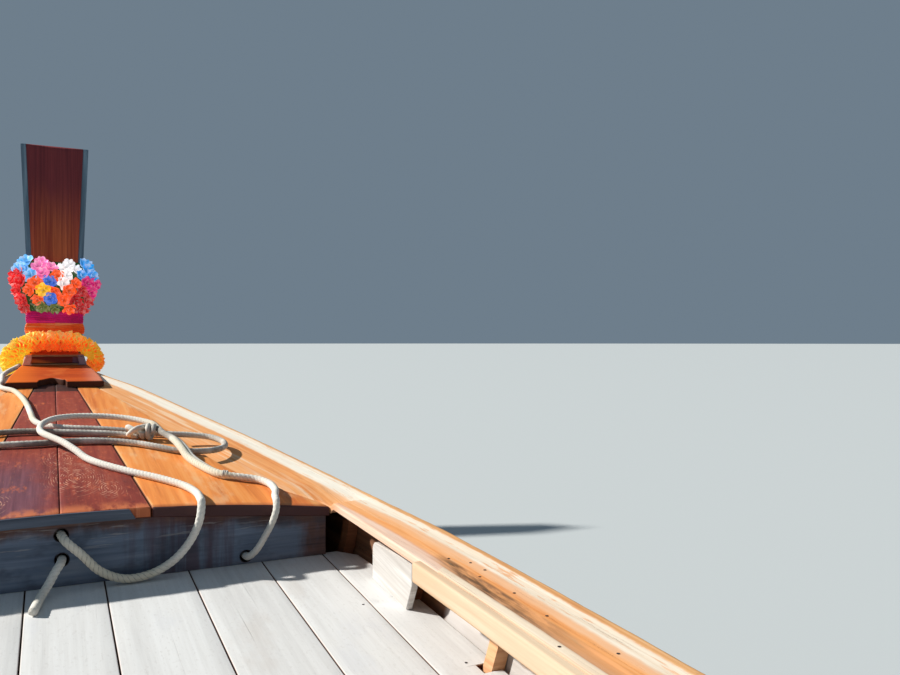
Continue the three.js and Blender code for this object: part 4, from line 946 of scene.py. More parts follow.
def white_paint():
    """White paint gone thin on rough wood, chipped to brown in places."""
    f = Finish("white_wood", "white_paint", Roughness=.7)
    u, v = f.uv()
    fine, slow = grain(f, u, v, v * 0 + .2, 60, 10)
    colour = f.ramp(fine * .6 + slow * .4, (.25, rgb(168, 162, 156)), (.5, rgb(196, 192, 188)),
                    (.78, rgb(252, 251, 249)))
    chips = f.noise(u * 14, v * 26, .3, 5, .65)
    colour = f.mix(chips.step(.66, .70) * .5, colour, rgb(176, 156, 138))
    f.feed(Base_Color=colour)
    f.bump(fine * .7 - chips.step(.63, .68), .0006)
    return f


def rope_fibre():
    """Off-white laid fibre: dirt and painted shade in the grooves between strands, yellowed and grey
    stretches, fine hairs.
    """
    f = Finish("rope", "rope_fibre", Roughness=.95)
    u, v = f.uv()
    high, dirty, _ = f.apart(f.tint())
    hairs = f.noise(u * 420 + v * 300, v * 160 - u * 90, .4, 3, .6)
    slow = f.noise(u * 9, v * 12, .2, 3, .6)
    colour = f.ramp(hairs * .6 + slow * .4, (.25, rgb(204, 198, 186)), (.5, rgb(230, 226, 216)),
                    (.78, rgb(242, 240, 234)))
    aged = f.noise(u * 2.2, .2, .6, 3, .5).step(.50, .66)
    colour = f.mix(aged * .4, colour, rgb(208, 194, 150))
    # dirt and painted shade: darker low between the strands
    groove_dirt_and_shade = high.step(.55, .20) * (.30 + slow * .4) * (.35 + aged * .65)
    grime_and_groove_shade = groove_dirt_and_shade.math("MAXIMUM", dirty * slow.step(.30, .60) * .88)
    colour = f.mix(grime_and_groove_shade, colour, f.mix(hairs, rgb(74, 66, 60), rgb(124, 116, 108)))
    f.feed(Base_Color=colour)
    f.bump(hairs, .0012)
    return f


def silk(slot, name, shade, base, light, creases):
    """Cloth on the sheet's own UV: a fine weave of two crossing threads over slow uneven dye, with a painted
    highlight along long creases. Its colour also feeds a painted glow, in place of the sun shining through
    thin cloth."""
    f = Finish(slot, name, Roughness=.8, Emission_Strength=.12)
    u, v = f.uv()
    weave = (u * 900).math("SINE") * (v * 900).math("SINE") * .5 + .5
    slow = f.noise(u * 7, v * 7, .3, 4, .6)
    colour = f.ramp(slow * .8 + weave * .15, (.3, shade), (.5, base), (.75, light))
    # painted highlight along long creases
    crease_highlight = f.noise(u * 5, v * 90, .6, 3, .5).step(.50, .66)
    colour = f.mix(crease_highlight * creases, colour, light)
    # painted glow: the cloth's colour also feeds its emission
    f.feed(Base_Color=colour, Emission_Color=colour)
    f.bump(weave + slow * .5, .0004)
    return f


def petals():
    """Petals in the tint's colour with pale flecks and fine veins; their colour also feeds a painted glow,
    in place of light shining through them.
    """
    f = Finish("flowers", "petals", Roughness=.7, Emission_Strength=.62)
    u, v = f.uv()
    slow = f.noise(u * 60, v * 60, .4, 3)
    colour = f.mix(slow.step(.45, .75) * .16, f.tint(), rgb(255, 250, 244))
    # painted glow: the petal colour also feeds the emission
    f.feed(Base_Color=colour, Emission_Color=colour)
    f.bump(f.noise(u * 300, v * 20, .1, 2), .0006)
    return f


def marigold_petals():
    """Petals in the tint's colour with yellow streaks; their colour also feeds a painted glow, in place of
    light coming through.
    """
    f = Finish("marigolds", "marigold_petals", Roughness=.8, Emission_Strength=.34)
    u, v = f.uv()
    streak = f.noise(u * 500, v * 90, .2, 3)
    colour = f.mix(streak.step(.4, .7) * .3, f.tint(), rgb(255, 220, 110))
    # painted glow: the petal colour also feeds the emission
    f.feed(Base_Color=colour, Emission_Color=colour)
    f.bump(streak, .0008)
    return f


def metal_paint(slot, name, colour, worn, rust, amount, roughness, metallic, scale):
    """Painted or bare metal with scuffs, oily stains, and rust in patches whose share is the amount."""
    f = Finish(slot, name)
    x, y, z = f.place()
    patch = f.noise(x * scale, y * scale, z * scale, 6, .62)
    fine = f.noise(x * scale * 9, y * scale * 9, z * scale * 9, 4, .6)
    tone = f.mix(fine.step(.35, .7) * .35, colour, worn)
    rusty = patch.step(.66 - .22 * amount, .74 - .18 * amount)
    tone = f.mix(rusty, tone, f.mix(fine, rust, rgb(60, 30, 18)))
    oil = f.noise(x * scale * .6 + 5, y * scale * .6, z * scale * .9, 4, .6).step(.58, .75)
    tone = f.mix(oil * .55, tone, rgb(34, 30, 28))
    f.feed(Base_Color=tone, Roughness=roughness + rusty * .3 + fine * .12, Metallic=metallic * (1 - rusty))
    f.bump(patch * .4 + fine * .4 + rusty * .6, .0007)
    return f


cap_finish = cap_wood()
redwood_finish = deck_redwood()
orange_finish = deck_orange()
floor_finish = floor_wood()
ledge_finish = ledge_wood()
prow_finish = prow_wood()
rib_finish = rib_wood()
bulkhead_finish = bulkhead_wood()
planking_finish = planking_wood()
white_finish = white_paint()
rope_finish = rope_fibre()
strip_wood = timber("varnished_wood", "strip_wood", rgb(186, 146, 118), rgb(228, 204, 176),
                    rgb(240, 226, 204), 12, .35, .6, .0007, stain=rgb(140, 108, 104))
breasthook_finish = breasthook_wood()
blue_grey = timber("blue_grey_wood", "blue_grey", rgb(78, 98, 114), rgb(116, 140, 156), rgb(160, 182, 194),
                   9, .35, .6, .0006, stain=rgb(120, 116, 116))
batten_wood = timber("blue_grey_wood", "batten_wood", rgb(66, 74, 88), rgb(96, 106, 122), rgb(132, 140, 152),
                     9, .4, .7, .0006, stain=rgb(60, 56, 62))
bench_wood = timber("new_wood", "bench_wood", rgb(150, 104, 66), rgb(200, 154, 106), rgb(228, 190, 142), 8,
                    .3, .6)
stern_wood = timber("grey_wood", "stern_wood", rgb(122, 112, 104), rgb(166, 158, 150), rgb(200, 194, 186), 8,
                    .4, .8, .0008)
keel_wood = timber("hull_wood", "keel_wood", rgb(66, 32, 20), rgb(112, 58, 34), rgb(150, 88, 52), 9, .4, .6,
                   .0008, axes="xzy")
stem_wood = timber("redwood", "stem_wood", rgb(74, 26, 16), rgb(128, 50, 28), rgb(178, 86, 48), 9, .3, .45,
                   .0006, axes="zxy")
transom_wood = timber("varnished_wood", "transom_wood", rgb(122, 50, 22), rgb(190, 92, 40),
                      rgb(226, 132, 66), 8, .3, .45, .0006, axes="yzx")
iron = metal_paint("painted_steel", "nail_iron", rgb(52, 46, 44), rgb(92, 84, 80), rgb(120, 64, 36), .6, .6,
                   .4, 60)

# Ropes. Their routes are the ones that the frame was built from.

DECK_LINE = np.array([
    [1934, -600, 508], [1905, -600, 509], [1868, -604, 514], [1848, -626, 538], [1846, -655, 582],
    [1850, -684, 632], [1858, -700, 672], [1880, -706, 699], [1930, -714, 708], [2020, -737, 715],
    [2110, -735, 725], [2170, -700, 735], [2200, -630, 746], [2230, -575, 754], [2351, -522, 773],
    [2480, -487, 796], [2560, -474, 822], [2640, -462, 843], [2714, -449, 855], [2810, -425, 868],
    [2900, -415, 880], [2990, -400, 892], [3075, -345, 904], [3135, -271, 914], [3170, -183, 921],
    [3180, -83, 924], [3150, 0, 921], [3070, 50, 911], [2980, 68, 899], [2880, 62, 886], [2790, 26, 874],
    [2700, -18, 860], [2600, -66, 834], [2520, -100, 812], [2425, -150, 798], [2300, -245, 779],
    [2181, -345, 762], [2080, -415, 746], [1985, -443, 734], [1905, -443, 728], [1868, -441, 722],
    [1853, -437, 690], [1852, -428, 650], [1850, -402, 597], [1846, -350, 540], [1844, -275, 502],
    [1844, -191, 496], [1846, -118, 530], [1848, -62, 590], [1862, -18, 632], [1900, -4, 648],
    [1945, 2, 650], [1995, 8, 638], [2020, 8, 608], [1995, 2, 578], [1945, -4, 567], [1900, -6, 568],
    [1868, -2, 563], [1846, 12, 546], [1815, 34, 512], [1765, 56, 489], [1671, 73, 479]]) / 1000
MOORING_ROPE = np.array([
    [4790, 203, 1124], [4730, 222, 1112], [4655, 262, 1090], [4560, 285, 1070], [4470, 286, 1052],
    [4380, 284, 1037], [4290, 290, 1022], [4222, 272, 1012], [4118, 214, 1001], [3900, 165, 975],
    [3685, 135, 949], [3447, 113, 921], [3290, 97, 902], [3190, 66, 891], [3120, 10, 884], [3080, -70, 878],
    [3045, -170, 873], [3000, -280, 864], [2950, -380, 854], [2930, -470, 846], [2920, -560, 838],
    [2890, -645, 827], [2810, -688, 814], [2715, -682, 803], [2635, -630, 799], [2600, -550, 801],
    [2615, -470, 806], [2680, -390, 820], [2750, -310, 832], [2795, -220, 841], [2815, -120, 847],
    [2815, -20, 848], [2808, 60, 847], [2812, 150, 847], [2828, 225, 846], [2875, 290, 849],
    [2950, 318, 856], [3025, 290, 867], [3055, 220, 874], [3048, 130, 876], [3020, 40, 873],
    [2985, -50, 869], [2955, -150, 864], [2925, -250, 857], [2885, -330, 848]]) / 1000


def wrapping(shell, middle, way, inner, turns, radius, spread):
    """Turns of thinner line round a rope: a helix about the way through the middle."""
    way = unit(np.asarray(way, float))
    one = unit(np.cross(way, (0, 0, 1)))
    two = np.cross(way, one)
    angle = np.linspace(0, TAU * turns, int(26 * turns))[:, None]
    line = (np.asarray(middle) + way * spread * (angle / (TAU * turns) - .5)
            + inner * (np.cos(angle) * one + np.sin(angle) * two))
    return laid_rope(shell, line, radius, radius * 6.5, .2, .5, 10)


def overhand(shell, middle, size, radius):
    """A closed trefoil knot: sines and cosines of the turn, of twice it and of three times it."""
    turn = np.linspace(0, TAU, 90, endpoint=False)
    across = np.sin(turn) + 2 * np.sin(2 * turn)
    along_it = 1.25 * (np.cos(turn) - 2 * np.cos(2 * turn))
    line = size * np.stack([across, along_it, -np.sin(3 * turn)], -1)
    _, normal, side = carried(line, (0, 0, 1), True)
    angle = np.linspace(0, TAU, 12, endpoint=False)[None, :, None]
    points = line[:, None] + radius * (np.cos(angle) * normal[:, None] + np.sin(angle) * side[:, None])
    dirt = .5 + .5 * np.sin(turn * 2 + 1)
    tint = np.stack([np.full(points.shape[:2], .6), np.broadcast_to(dirt[:, None], points.shape[:2]),
                     np.zeros(points.shape[:2])], -1)
    return shell.grid(points + np.asarray(middle), tint=tint, wrap=(True, True))


def lay_ropes():
    """Each rope follows a curve through its route's points. Bells and ramps of the distance along it make
    the deck line thinner where it is frayed and thicker where it is doubled, and set the dirt."""
    line = curve(DECK_LINE, .004)
    reach = lengths(line)
    frayed = np.exp(-((reach - .17) / .16) ** 2)
    spliced = np.clip((reach - .70) / .03, 0, 1) * np.clip((1.28 - reach) / .06, 0, 1)
    radius = ROPE / 2 * (1 - .14 * frayed + .17 * spliced)
    bundle = np.exp(-((reach - 1.35) / .2) ** 2) * .9
    shell = Shell()
    laid_rope(shell, line, radius, .052, .15, bundle + .25 * frayed)
    deck_line = shell.build("deck_line_rope", rope_finish, replaces=["deck_line"], smooth=180)
    whip = wrapping(Shell(), (2.222, -.590, .752), (.35, .85, .12), .0155, 3, .0035, .022)
    whip = whip.build("deck_line_whipping", rope_finish, smooth=180)
    part = line[(reach > .70) & (reach < 1.33)]
    way = unit(np.gradient(part, axis=0))
    swell = np.sin(np.pi * np.linspace(0, 1, len(part)))[:, None] ** .4
    aside = unit(np.cross(way, (0, 0, 1))) * .019 * swell
    double = laid_rope(Shell(), part + aside - (0, 0, .002), ROPE / 2 * (.35 + .5 * swell[:, 0]), .046, .2,
                       bundle[(reach > .70) & (reach < 1.33)] + .15)
    double = double.build("deck_line_double", rope_finish, smooth=180)
    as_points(line[::3])
    line = curve(MOORING_ROPE, .004)
    reach = lengths(line)
    near = np.clip((reach - 1.7) / .2, 0, 1)
    shell = laid_rope(Shell(), line, ROPE / 2, .052, .15, near * (.55 + .4 * np.sin(reach * 5) ** 2))
    mooring = shell.build("mooring_line_rope", rope_finish, replaces=["mooring_rope"], smooth=180)
    shell = wrapping(Shell(), (2.880, -.375, .866), (-.30, -.95, -.10), .029, 2, .0115, .050)
    overhand(shell, (2.905, -.330, .872), .016, .0115)
    knot = shell.build("mooring_knot", rope_finish, smooth=180)
    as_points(line[::3])


lay_ropes()

# Gunwale caps, ledges and side boards


CAP_TRUE_WIDE = 0.21              # breadth aft of the deck, where the bands below are measured
CAP_AFT_X, CAP_FORE_X = -5.4985, 5.06
STRIP_FORE_X = 1.015              # where the second strip on the cap butts in
GROOVE = (0.134, 0.1795)          # the hollow between the orange band and the strip, from the outer edge


def gunwale_cap(word, side):
    """The cap's section carried along the sheer. A column lies at a set distance from the outer edge, or at
    a share of the breadth where the cap is narrower, and the inner ones spread where it widens into the
    covering board. The top falls in a straight line to the inner edge; aft of the strip's front end the
    part inside the groove's bank lies lower, and the bank is half a cosine."""
    more = np.linspace(1.8, 2.6, 60)
    xs = np.unique(np.concatenate([np.linspace(CAP_AFT_X, CAP_FORE_X, 400), more]))[:, None]
    outer, inner, top = cap_outer(xs), cap_inner(xs), cap_top(xs)
    wide = outer - inner
    deck = np.clip((xs - DECK_AFT + .02) / .02, 0, 1)
    inner_top = top - .006 + (np.minimum(deck_top(xs, inner), top) - top + .006) * deck
    edge = .009
    fixed = np.array([.013, .022, .034, .05, .066, .08, .095, .11, .122, .131, .1345, .138, .1415, .152,
                      .165, .175])
    ratio = np.minimum(wide / CAP_TRUE_WIDE, 1)
    rest = np.linspace(0, 1, 6)[1:-1]
    first = edge * (1 - np.cos(ROUND)) * ratio
    flat = fixed * ratio
    last = wide - edge * .6
    spread = flat[:, -1:] + (last - flat[:, -1:]) * rest
    final = wide - edge * .6 * (1 - np.sin(ROUND))
    d = np.concatenate([first[:, :1], first, flat, spread, final, final[:, -1:]], 1)
    level = top + (inner_top - top) * np.clip(d / wide, 0, 1)
    shape = np.zeros(d.shape)
    bank = np.clip((d / ratio - GROOVE[0] - .002 * ripple(xs * 3, side)) / .008, 0, 1)
    shape -= .004 * (.5 - .5 * np.cos(np.pi * bank)) * np.clip((1.05 - xs) / .10, 0, 1)
    shape -= .0016 * np.exp(-((d - .052) / .02) ** 2) * (1 + .5 * ripple(xs * 2, 2 + side))
    shape += .0006 * ripple(xs * 4 + d * 60, 3 * side)
    fall = edge * ratio * (1 - np.sin(ROUND))
    fall_in = edge * .6 * (1 - np.cos(ROUND))
    shape[:, 1:5] -= fall
    shape[:, -5:-1] -= fall_in
    z = level + shape
    z[:, 0] = (top - CAP_THICK)[:, 0]
    z[:, -1] = (inner_top - CAP_THICK + .010)[:, 0]
    rub = .0012 * ripple(xs * 2.5, 7 * side)
    y = (outer - d - rub * np.exp(-d / .01)) * side
    x = np.broadcast_to(xs, d.shape)
    run = np.concatenate([d[:, :1] - CAP_THICK, d[:, 1:-1], d[:, -1:] + .03, d[:, -1:] + .03 + wide], 1)
    uv = np.stack([np.broadcast_to(xs, run.shape), run], -1)
    tint = np.stack([np.full(d.shape, .3 + .2 * side), np.ones(d.shape), np.ones(d.shape)], -1)
    Shell().grid(np.stack([x, y, z], -1), uv, tint, (False, True), True).build(
        "cap_" + word, cap_finish, replaces=["gunwale_cap_" + word], smooth=50)


def cap_strip(word, side):
    """A second narrow board let into the cap's inner side, level with its outer part."""
    def place(u, v, w):
        slant = .9 * (v - .195) * np.clip((u - STRIP_FORE_X + .06) / .06, 0, 1)
        z = cap_top(u) - .0022 - w + .0005 * ripple(u * 3, side)
        return np.stack([u - slant, side * (cap_outer(u) - v), z], -1)
    shell = board(Shell(), place, np.linspace(-3.86, STRIP_FORE_X, 150), GROOVE[1],
                  lambda u: cap_outer(u) - cap_inner(u) - .0012, .016, .0025, 5, .62 + .1 * side)
    shell.build("cap_strip_" + word, strip_wood)


LEDGE_AFT_X, LEDGE_FORE_X, LEDGE_DEEP = -3.88, 1.12, 0.06


def ledge(word, side):
    """Plank on edge along the cap's inner edge, a little below the cap's top; its face looks inboard."""
    def place(u, v, w):
        return np.stack([u, side * (cap_inner(u) - .026 + w), cap_top(u) - .0075 - v], -1)
    shell = board(Shell(), place, np.linspace(LEDGE_AFT_X, LEDGE_FORE_X, 120), 0,
                  LEDGE_DEEP, .0255, .007, 5, .4 + .1 * side)
    shell.build("ledge_" + word, ledge_finish, replaces=["ledge_plank_" + word])


def side_board(word, side):
    """Board on edge: its lower aft corner is cut slanting, and its forward top corner is a quarter round."""
    turns = np.linspace(0, math.pi / 2, 7)
    corner = [(1.6 - .026 * (1 - math.cos(a)), .562 + .026 * math.sin(a)) for a in turns]
    foot = [(x, float(floor_top(x)) + .001) for x in (1.307, 1.4, 1.5, 1.6)]
    outline = foot + corner + [(1.45, .591), (1.35, .5935), (1.262, .596), (1.262, .522)]
    shell = cutout(Shell(), outline, lambda a, b, w: np.stack([a, side * (.970 + w) + a * 0, b], -1), .022)
    shell.build("side_plank_" + word, white_finish, replaces=["side_board_" + word])


# Nail heads in the cap beside the fore well: x, distance from the cap's outer edge
SEEN_NAILS = [(1.09, .130), (1.027, .093), (.954, .088), (.912, .128), (.764, .110), (.60, .12), (.36, .10)]


def cap_nails(word, side, seed):
    """Nail heads along the cap and the strip, few and uneven."""
    draw = np.random.default_rng(seed)
    far = np.arange(-5.2, .2, .23)
    far = far + draw.uniform(-.06, .06, len(far))
    xs = np.concatenate([[x for x, _ in SEEN_NAILS], far])
    d = np.concatenate([[d for _, d in SEEN_NAILS], draw.uniform(.09, .128, len(far))])
    z = cap_top(xs) - .006 * d / (cap_outer(xs) - cap_inner(xs)) + .0002
    spots = np.stack([xs, side * (cap_outer(xs) - d), z], -1)
    more = np.arange(-3.7, .9, .46)
    strip = np.stack([more, side * (cap_outer(more) - .195), cap_top(more) - .0021], -1)
    shell = studs(Shell(), np.concatenate([spots, strip]), (0, 0, 1), .0042, .0012, 7)
    shell.build("cap_nails_" + word, iron)


for number, (word, side) in enumerate(SIDES):
    gunwale_cap(word, side)
    cap_strip(word, side)
    ledge(word, side)
    side_board(word, side)
    cap_nails(word, side, 5 + number)

# Foredeck and its batten, the finishes of the plain nodes, breasthook and collar


def deck_plank(name, node, side, low, high, finish, seed):
    """A deck plank between two lines; its face is lifted by a small uneven wave."""
    def place(u, v, w):
        lift = .0006 * ripple(u * 2 + v * 9, seed * 40)
        return np.stack([u, side * v, deck_top(u, v) + lift * np.clip(1 - w / .01, 0, 1) - w], -1)
    shell = board(Shell(), place, np.linspace(DECK_AFT, DECK_FORE, 90), low, high, DECK_THICK, .005, 12,
                  seed)
    shell.build(name, finish, replaces=[node])


for word, side in SIDES:
    deck_plank("deck_middle_" + word, "foredeck_middle_" + word, side, .0012,
               lambda u: middle_seam(u) - .002, redwood_finish, .35 + .2 * side)
    deck_plank("deck_side_" + word, "foredeck_side_" + word, side, lambda u: middle_seam(u) + .002,
               lambda u: cap_inner(u) - .0018, orange_finish, .6 + .15 * side)

BATTEN_END = -0.22                # where the grey batten on the deck's aft edge stops


def deck_batten():
    """Thin batten nailed to the deck's aft edge; its starboard end is cut on the slant."""
    def place(u, v, w):
        slant = (v - .5) * .02 * np.clip((BATTEN_END + .05 - u) / .05, 0, 1)
        x = DECK_AFT - .0085 + w
        return np.stack([x, u + slant, deck_top(x, u) - .0005 - (1 - v) * .034], -1)
    shell = board(Shell(), place, np.linspace(BATTEN_END, .885, 60), 0, 1,
                  .0075, .002, 5, .3, (1, .034))
    shell.build("deck_batten", batten_wood)


deck_batten()

for name, finish in (("deck_bulkhead", bulkhead_finish), ("frames", rib_finish), ("keel", keel_wood),
                     ("stem_post", stem_wood), ("transom", transom_wood)):
    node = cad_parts[name]
    node.data.materials.clear()
    node.data.materials.append(finish.material)


BREASTHOOK_AFT, BREASTHOOK_LONG = 4.248, 0.617
BREASTHOOK_HALVES = [4.248, 4.4, 4.6, 4.8, 4.865], [.262, .25, .22, .186, .176]


def collar_wood():
    """Panel of the collar: bright orange low to port as painted light, dark red high to starboard as painted
    shadow, mauve at its end.
    """
    f = Finish("varnished_wood", "collar_wood", Roughness=.6, Specular_IOR_Level=.3)
    _, y, z = f.place()
    fine = f.noise(y * 9, z * 260, .4, 5, .6)
    colour = f.mix(fine, rgb(196, 84, 26), rgb(250, 130, 54))
    # painted light and shadow: lit orange below a slanting line, shadowed dark red above it
    slant = (z - 1.150) * 4.2 - (y - .06) + (fine - .5) * .08
    colour = f.mix(slant.step(-.05, .06), colour, rgb(120, 36, 24))
    colour = f.mix(y.step(-.095, -.11) * .9, colour, rgb(120, 84, 104))
    f.feed(Base_Color=colour)
    return f


def collar_paint():
    """Frame of the collar: salmon to port, brown in the middle, mauve to starboard; the pale salmon and the
    mauve are partly its paint and partly painted light and shade.
    """
    f = Finish("varnished_wood", "collar_paint", Roughness=.6, Specular_IOR_Level=.3)
    _, y, z = f.place()
    fine = f.noise(y * 30, z * 60, .4, 5, .6)
    colour = f.mix(fine, rgb(120, 74, 46), rgb(196, 146, 104))
    # partly painted light: the port post is paler, and the starboard post is mauve as if in shade
    colour = f.mix(y.step(.128, .140), colour, rgb(255, 178, 150))
    colour = f.mix(y.step(-.128, -.140), colour, rgb(150, 122, 132))
    f.feed(Base_Color=colour)
    return f


def breasthook():
    """Plate with a notch like a bracket in its aft edge: its depth falls from the middle as a cosine, and
    ends in a small step. The whole section, edges and underside too, follows the notch."""
    def notch(y):
        far = np.abs(y - .016)
        bow = .5 + .5 * np.cos(np.pi * np.clip(far / .070, 0, 1))
        return .052 * bow + .055 * np.clip((.078 - far) / .008, 0, 1)

    breadth = np.unique(np.concatenate([np.linspace(-1, 1, 61), np.linspace(-.31, .31, 80)]))[None, :]
    share = np.concatenate([[0, .004, .010], np.linspace(.03, .97, 26), [.99, .996, 1]])[:, None]
    half = np.interp(BREASTHOOK_AFT + share * BREASTHOOK_LONG, *BREASTHOOK_HALVES)
    y = breadth * half
    cut = notch(breadth * BREASTHOOK_HALVES[1][0]) * (1 - share) ** 2
    x = BREASTHOOK_AFT + cut + share * BREASTHOOK_LONG
    edge = np.minimum(share, 1 - share) * BREASTHOOK_LONG
    margin = (1 - np.abs(breadth)) * half
    fall = np.clip(1 - edge / .006, 0, 1) ** 2 + np.clip(1 - margin / .006, 0, 1) ** 2
    face = np.stack([x, y, deck_crown(x) + .0353 - .006 * fall], -1)
    back = np.stack([x, y, deck_crown(x) + .0003], -1)
    height = np.concatenate([1 - .5 * fall, fall * 0])
    tint = np.stack([height * 0 + .2, height, height * 0 + 1], -1)
    shell = Shell().slab(face, back, tint)
    shell.build("breasthook_plate", breasthook_finish, replaces=["breasthook"], smooth=50)


def collar():
    """Framed box aft of the prow's foot: side posts, a bottom rail, a top board, and a panel set back. Each
    part is a block whose foot follows the deck's slope, and it narrows by a tenth from foot to head."""
    aft, fore = 4.728, 4.858
    foot = float(deck_crown(aft)) + .0359
    rise = (float(deck_crown(fore)) - float(deck_crown(aft))) / .13
    shell, panel = Shell(), Shell()

    def sloped(part, low, high, edge=.003):
        block(part, low, high, edge)
        points = part.points[-1]
        points[:, 2] += (points[:, 0] - aft) * rise * (high[2] - points[:, 2]) / (high[2] - low[2])
        points[:, 1] *= 1 - .1 * (points[:, 2] - foot) / .066
    for _, side in SIDES:
        a, b = sorted((.142 * side, .187 * side))
        sloped(shell, (aft, a, foot), (fore, b, foot + .055))
    sloped(shell, (aft, -.146, foot), (4.850, .146, foot + .011))
    sloped(shell, (aft, -.1868, foot + .0545), (fore, .1868, foot + .066), .004)
    sloped(panel, (4.752, -.145, foot + .009), (4.846, .145, foot + .057))
    shell.build("collar_frame", collar_paint(), replaces=["prow_collar"])
    panel.build("collar_panel", collar_wood())


breasthook()
collar()

# Prow above the sheer


def prow_board():
    """Wedge between the cheeks, from the aft face to the rabbet; its top edge is hollowed by a parabola."""
    def place(u, v, w):
        z = PROW_FOOT + (PROW_TALL - .010 * (1 - v * v)) * u
        aft, half, rabbet = prow_at(z)
        deep = w / .1
        y = v * ((half - CHEEK - .0006) * (1 - deep) + (STEM_HALF - CHEEK - .0006) * deep)
        return np.stack([aft + (rabbet - .0003 - aft) * deep, y, z], -1)
    shell = board(Shell(), place, np.linspace(0, 1, 60), -1, 1, .1, .002, 16,
                  .45, (PROW_TALL, .15))
    shell.build("prow_panel", prow_finish, replaces=["prow_board"])


def prow_cheek(word, side):
    """Cheek from the aft face to the rabbet; its breadth seen from aft is even from top to bottom."""
    def place(u, v, w):
        z = PROW_FOOT + PROW_TALL * u
        aft, half, rabbet = prow_at(z)
        deep = w / .1
        outer = half * (1 - deep) + STEM_HALF * deep
        return np.stack([aft + (rabbet - .0003 - aft) * deep, side * (outer - CHEEK * (1 - v)), z], -1)
    shell = board(Shell(), place, np.linspace(0, 1, 60), 0, 1, .1, .003, 5,
                  .5 + .2 * side, (PROW_TALL, CHEEK))
    shell.build("cheek_" + word, blue_grey, replaces=["prow_cheek_" + word])


prow_board()
for word, side in SIDES:
    prow_cheek(word, side)


def prow_ring(z, behind, g, count=96):
    """Closed outline round the prow at a height, grown by one distance behind and another at the sides."""
    aft, half, rabbet = (float(v) for v in prow_at(z))
    nose = rabbet + STEM_DEPTH
    port = [(aft - behind, 0), (aft - behind, half * .5), (aft - behind, half + g * .3),
            (aft + g * .1, half + g), (rabbet, STEM_HALF + g * 1.25), (nose + g * .4, STEM_NOSE_HALF + g),
            (nose + g, STEM_NOSE_HALF * .5)]
    ring = np.array(port + [(x, -y) for x, y in port[:0:-1]])
    ring = np.c_[ring, np.full(len(ring), z)]
    loop = spaced(np.concatenate([ring, ring[:1]]), .004)[:-1]
    for _ in range(3):
        loop = (np.roll(loop, 1, 0) + loop * 2 + np.roll(loop, -1, 0)) / 4
    loop = np.concatenate([loop, loop[:1]])
    reach = lengths(loop)
    wanted = np.linspace(0, reach[-1], count, endpoint=False)
    return np.stack([np.interp(wanted, reach, loop[:, k]) for k in range(3)], -1)


def sash(name, node, low, high, seed, finish):
    """Cloth band wound round the prow. Its folds are slanting creases: round-topped waves in the height,
    shifted by slow waves round the prow, that lift the cloth off the timber."""
    rows, count, swell = 34, 200, .014
    heights = np.linspace(low, high, rows)
    phi = np.arange(count) / count * TAU
    rings = np.stack([prow_ring(z, .004, .005, count) for z in heights])
    centre = rings.mean(1, keepdims=True)
    out = unit(rings - centre)
    out[..., 2] = 0
    share = ((heights - low) / (high - low))[:, None]
    sway = .5 * np.sin(phi * 2 + seed) + .35 * np.sin(phi * 5 + seed * 2) + .2 * np.sin(phi * 9 + seed)
    folds = share * 5.5 + sway
    lift = np.abs(np.sin(folds * np.pi)) ** .7 * (.65 + .35 * np.sin(phi * 3 + seed * 3))
    belly = np.sin(np.pi * np.clip(share, .04, .96)) ** .6
    outer = rings + out * (.002 + swell * belly * (.45 + .55 * lift))[..., None]
    outer[..., 2] += (.004 * np.sin(phi * 3 + seed) * (share - .5))
    inner = rings - out * .0006
    section = np.concatenate([outer, inner[::-1]], 0).transpose(1, 0, 2)
    shell = Shell().grid(section, wrap=(True, True))
    made = shell.build(name, finish, replaces=[node], smooth=180)
    wide = float(np.linalg.norm(np.diff(outer, axis=0), axis=-1).sum(0).mean())
    around = float(np.linalg.norm(np.roll(outer, -1, 1) - outer, axis=-1).sum(1).mean())
    return made, around, wide


orange_silk = silk("orange_cloth", "orange_silk", rgb(206, 60, 10), rgb(250, 100, 24), rgb(255, 176, 112),
                   .6)
magenta_silk = silk("magenta_cloth", "magenta_silk", rgb(150, 0, 72), rgb(214, 0, 112), rgb(240, 60, 160),
                    .4)
SASHES = [("sash_low", "sash_orange", 1.327, 1.3985, 1.3, orange_silk),
          ("sash_high", "sash_magenta", 1.3965, 1.476, 4.1, magenta_silk)]
for name, node, low, high, seed, finish in SASHES:
    made, around, wide = sash(name, node, low, high, seed, finish)

PETAL_TONES = {"light_blue": (96, 190, 250), "pink": (250, 120, 190), "orange": (255, 98, 16),
               "white": (254, 250, 250), "cyan": (10, 160, 232), "yellow": (255, 206, 30),
               "red": (226, 8, 20), "blue": (60, 120, 226), "magenta": (214, 10, 120),
               "dark_red": (190, 6, 20), "green": (54, 110, 48), "stem": (108, 124, 50)}
# Rows of blossoms round the prow: height, distance from the timber, count, and the tones from port to
# starboard, each with the y in mm where it ends
FLOWER_ROWS = [
    (1.508, .022, 15, [("dark_red", 145), ("orange", 78), ("stem", 30), ("stem", -67), ("orange", -134),
                       ("dark_red", -400)]),
    (1.560, .046, 18, [("red", 112), ("orange", 67), ("yellow", 28), ("blue", -8), ("orange", -84),
                       ("dark_red", -400)]),
    (1.612, .062, 19, [("red", 143), ("orange", 79), ("yellow", 0), ("orange", -100), ("dark_red", -173),
                       ("magenta", -400)]),
    (1.664, .066, 19, [("red", 160), ("blue", 142), ("orange", 53), ("blue", 25), ("white", -80),
                       ("orange", -137), ("magenta", -400)]),
    (1.714, .062, 19, [("red", 165), ("light_blue", 120), ("pink", 42), ("orange", -22), ("white", -134),
                       ("cyan", -400)]),
    (1.758, .050, 18, [("light_blue", 134), ("pink", 32), ("orange", -34), ("white", -123), ("cyan", -228),
                       ("yellow", -400)]),
    (1.796, .032, 15, [("light_blue", 134), ("pink", 40), (None, -67), ("white", -134), ("cyan", -400)])]


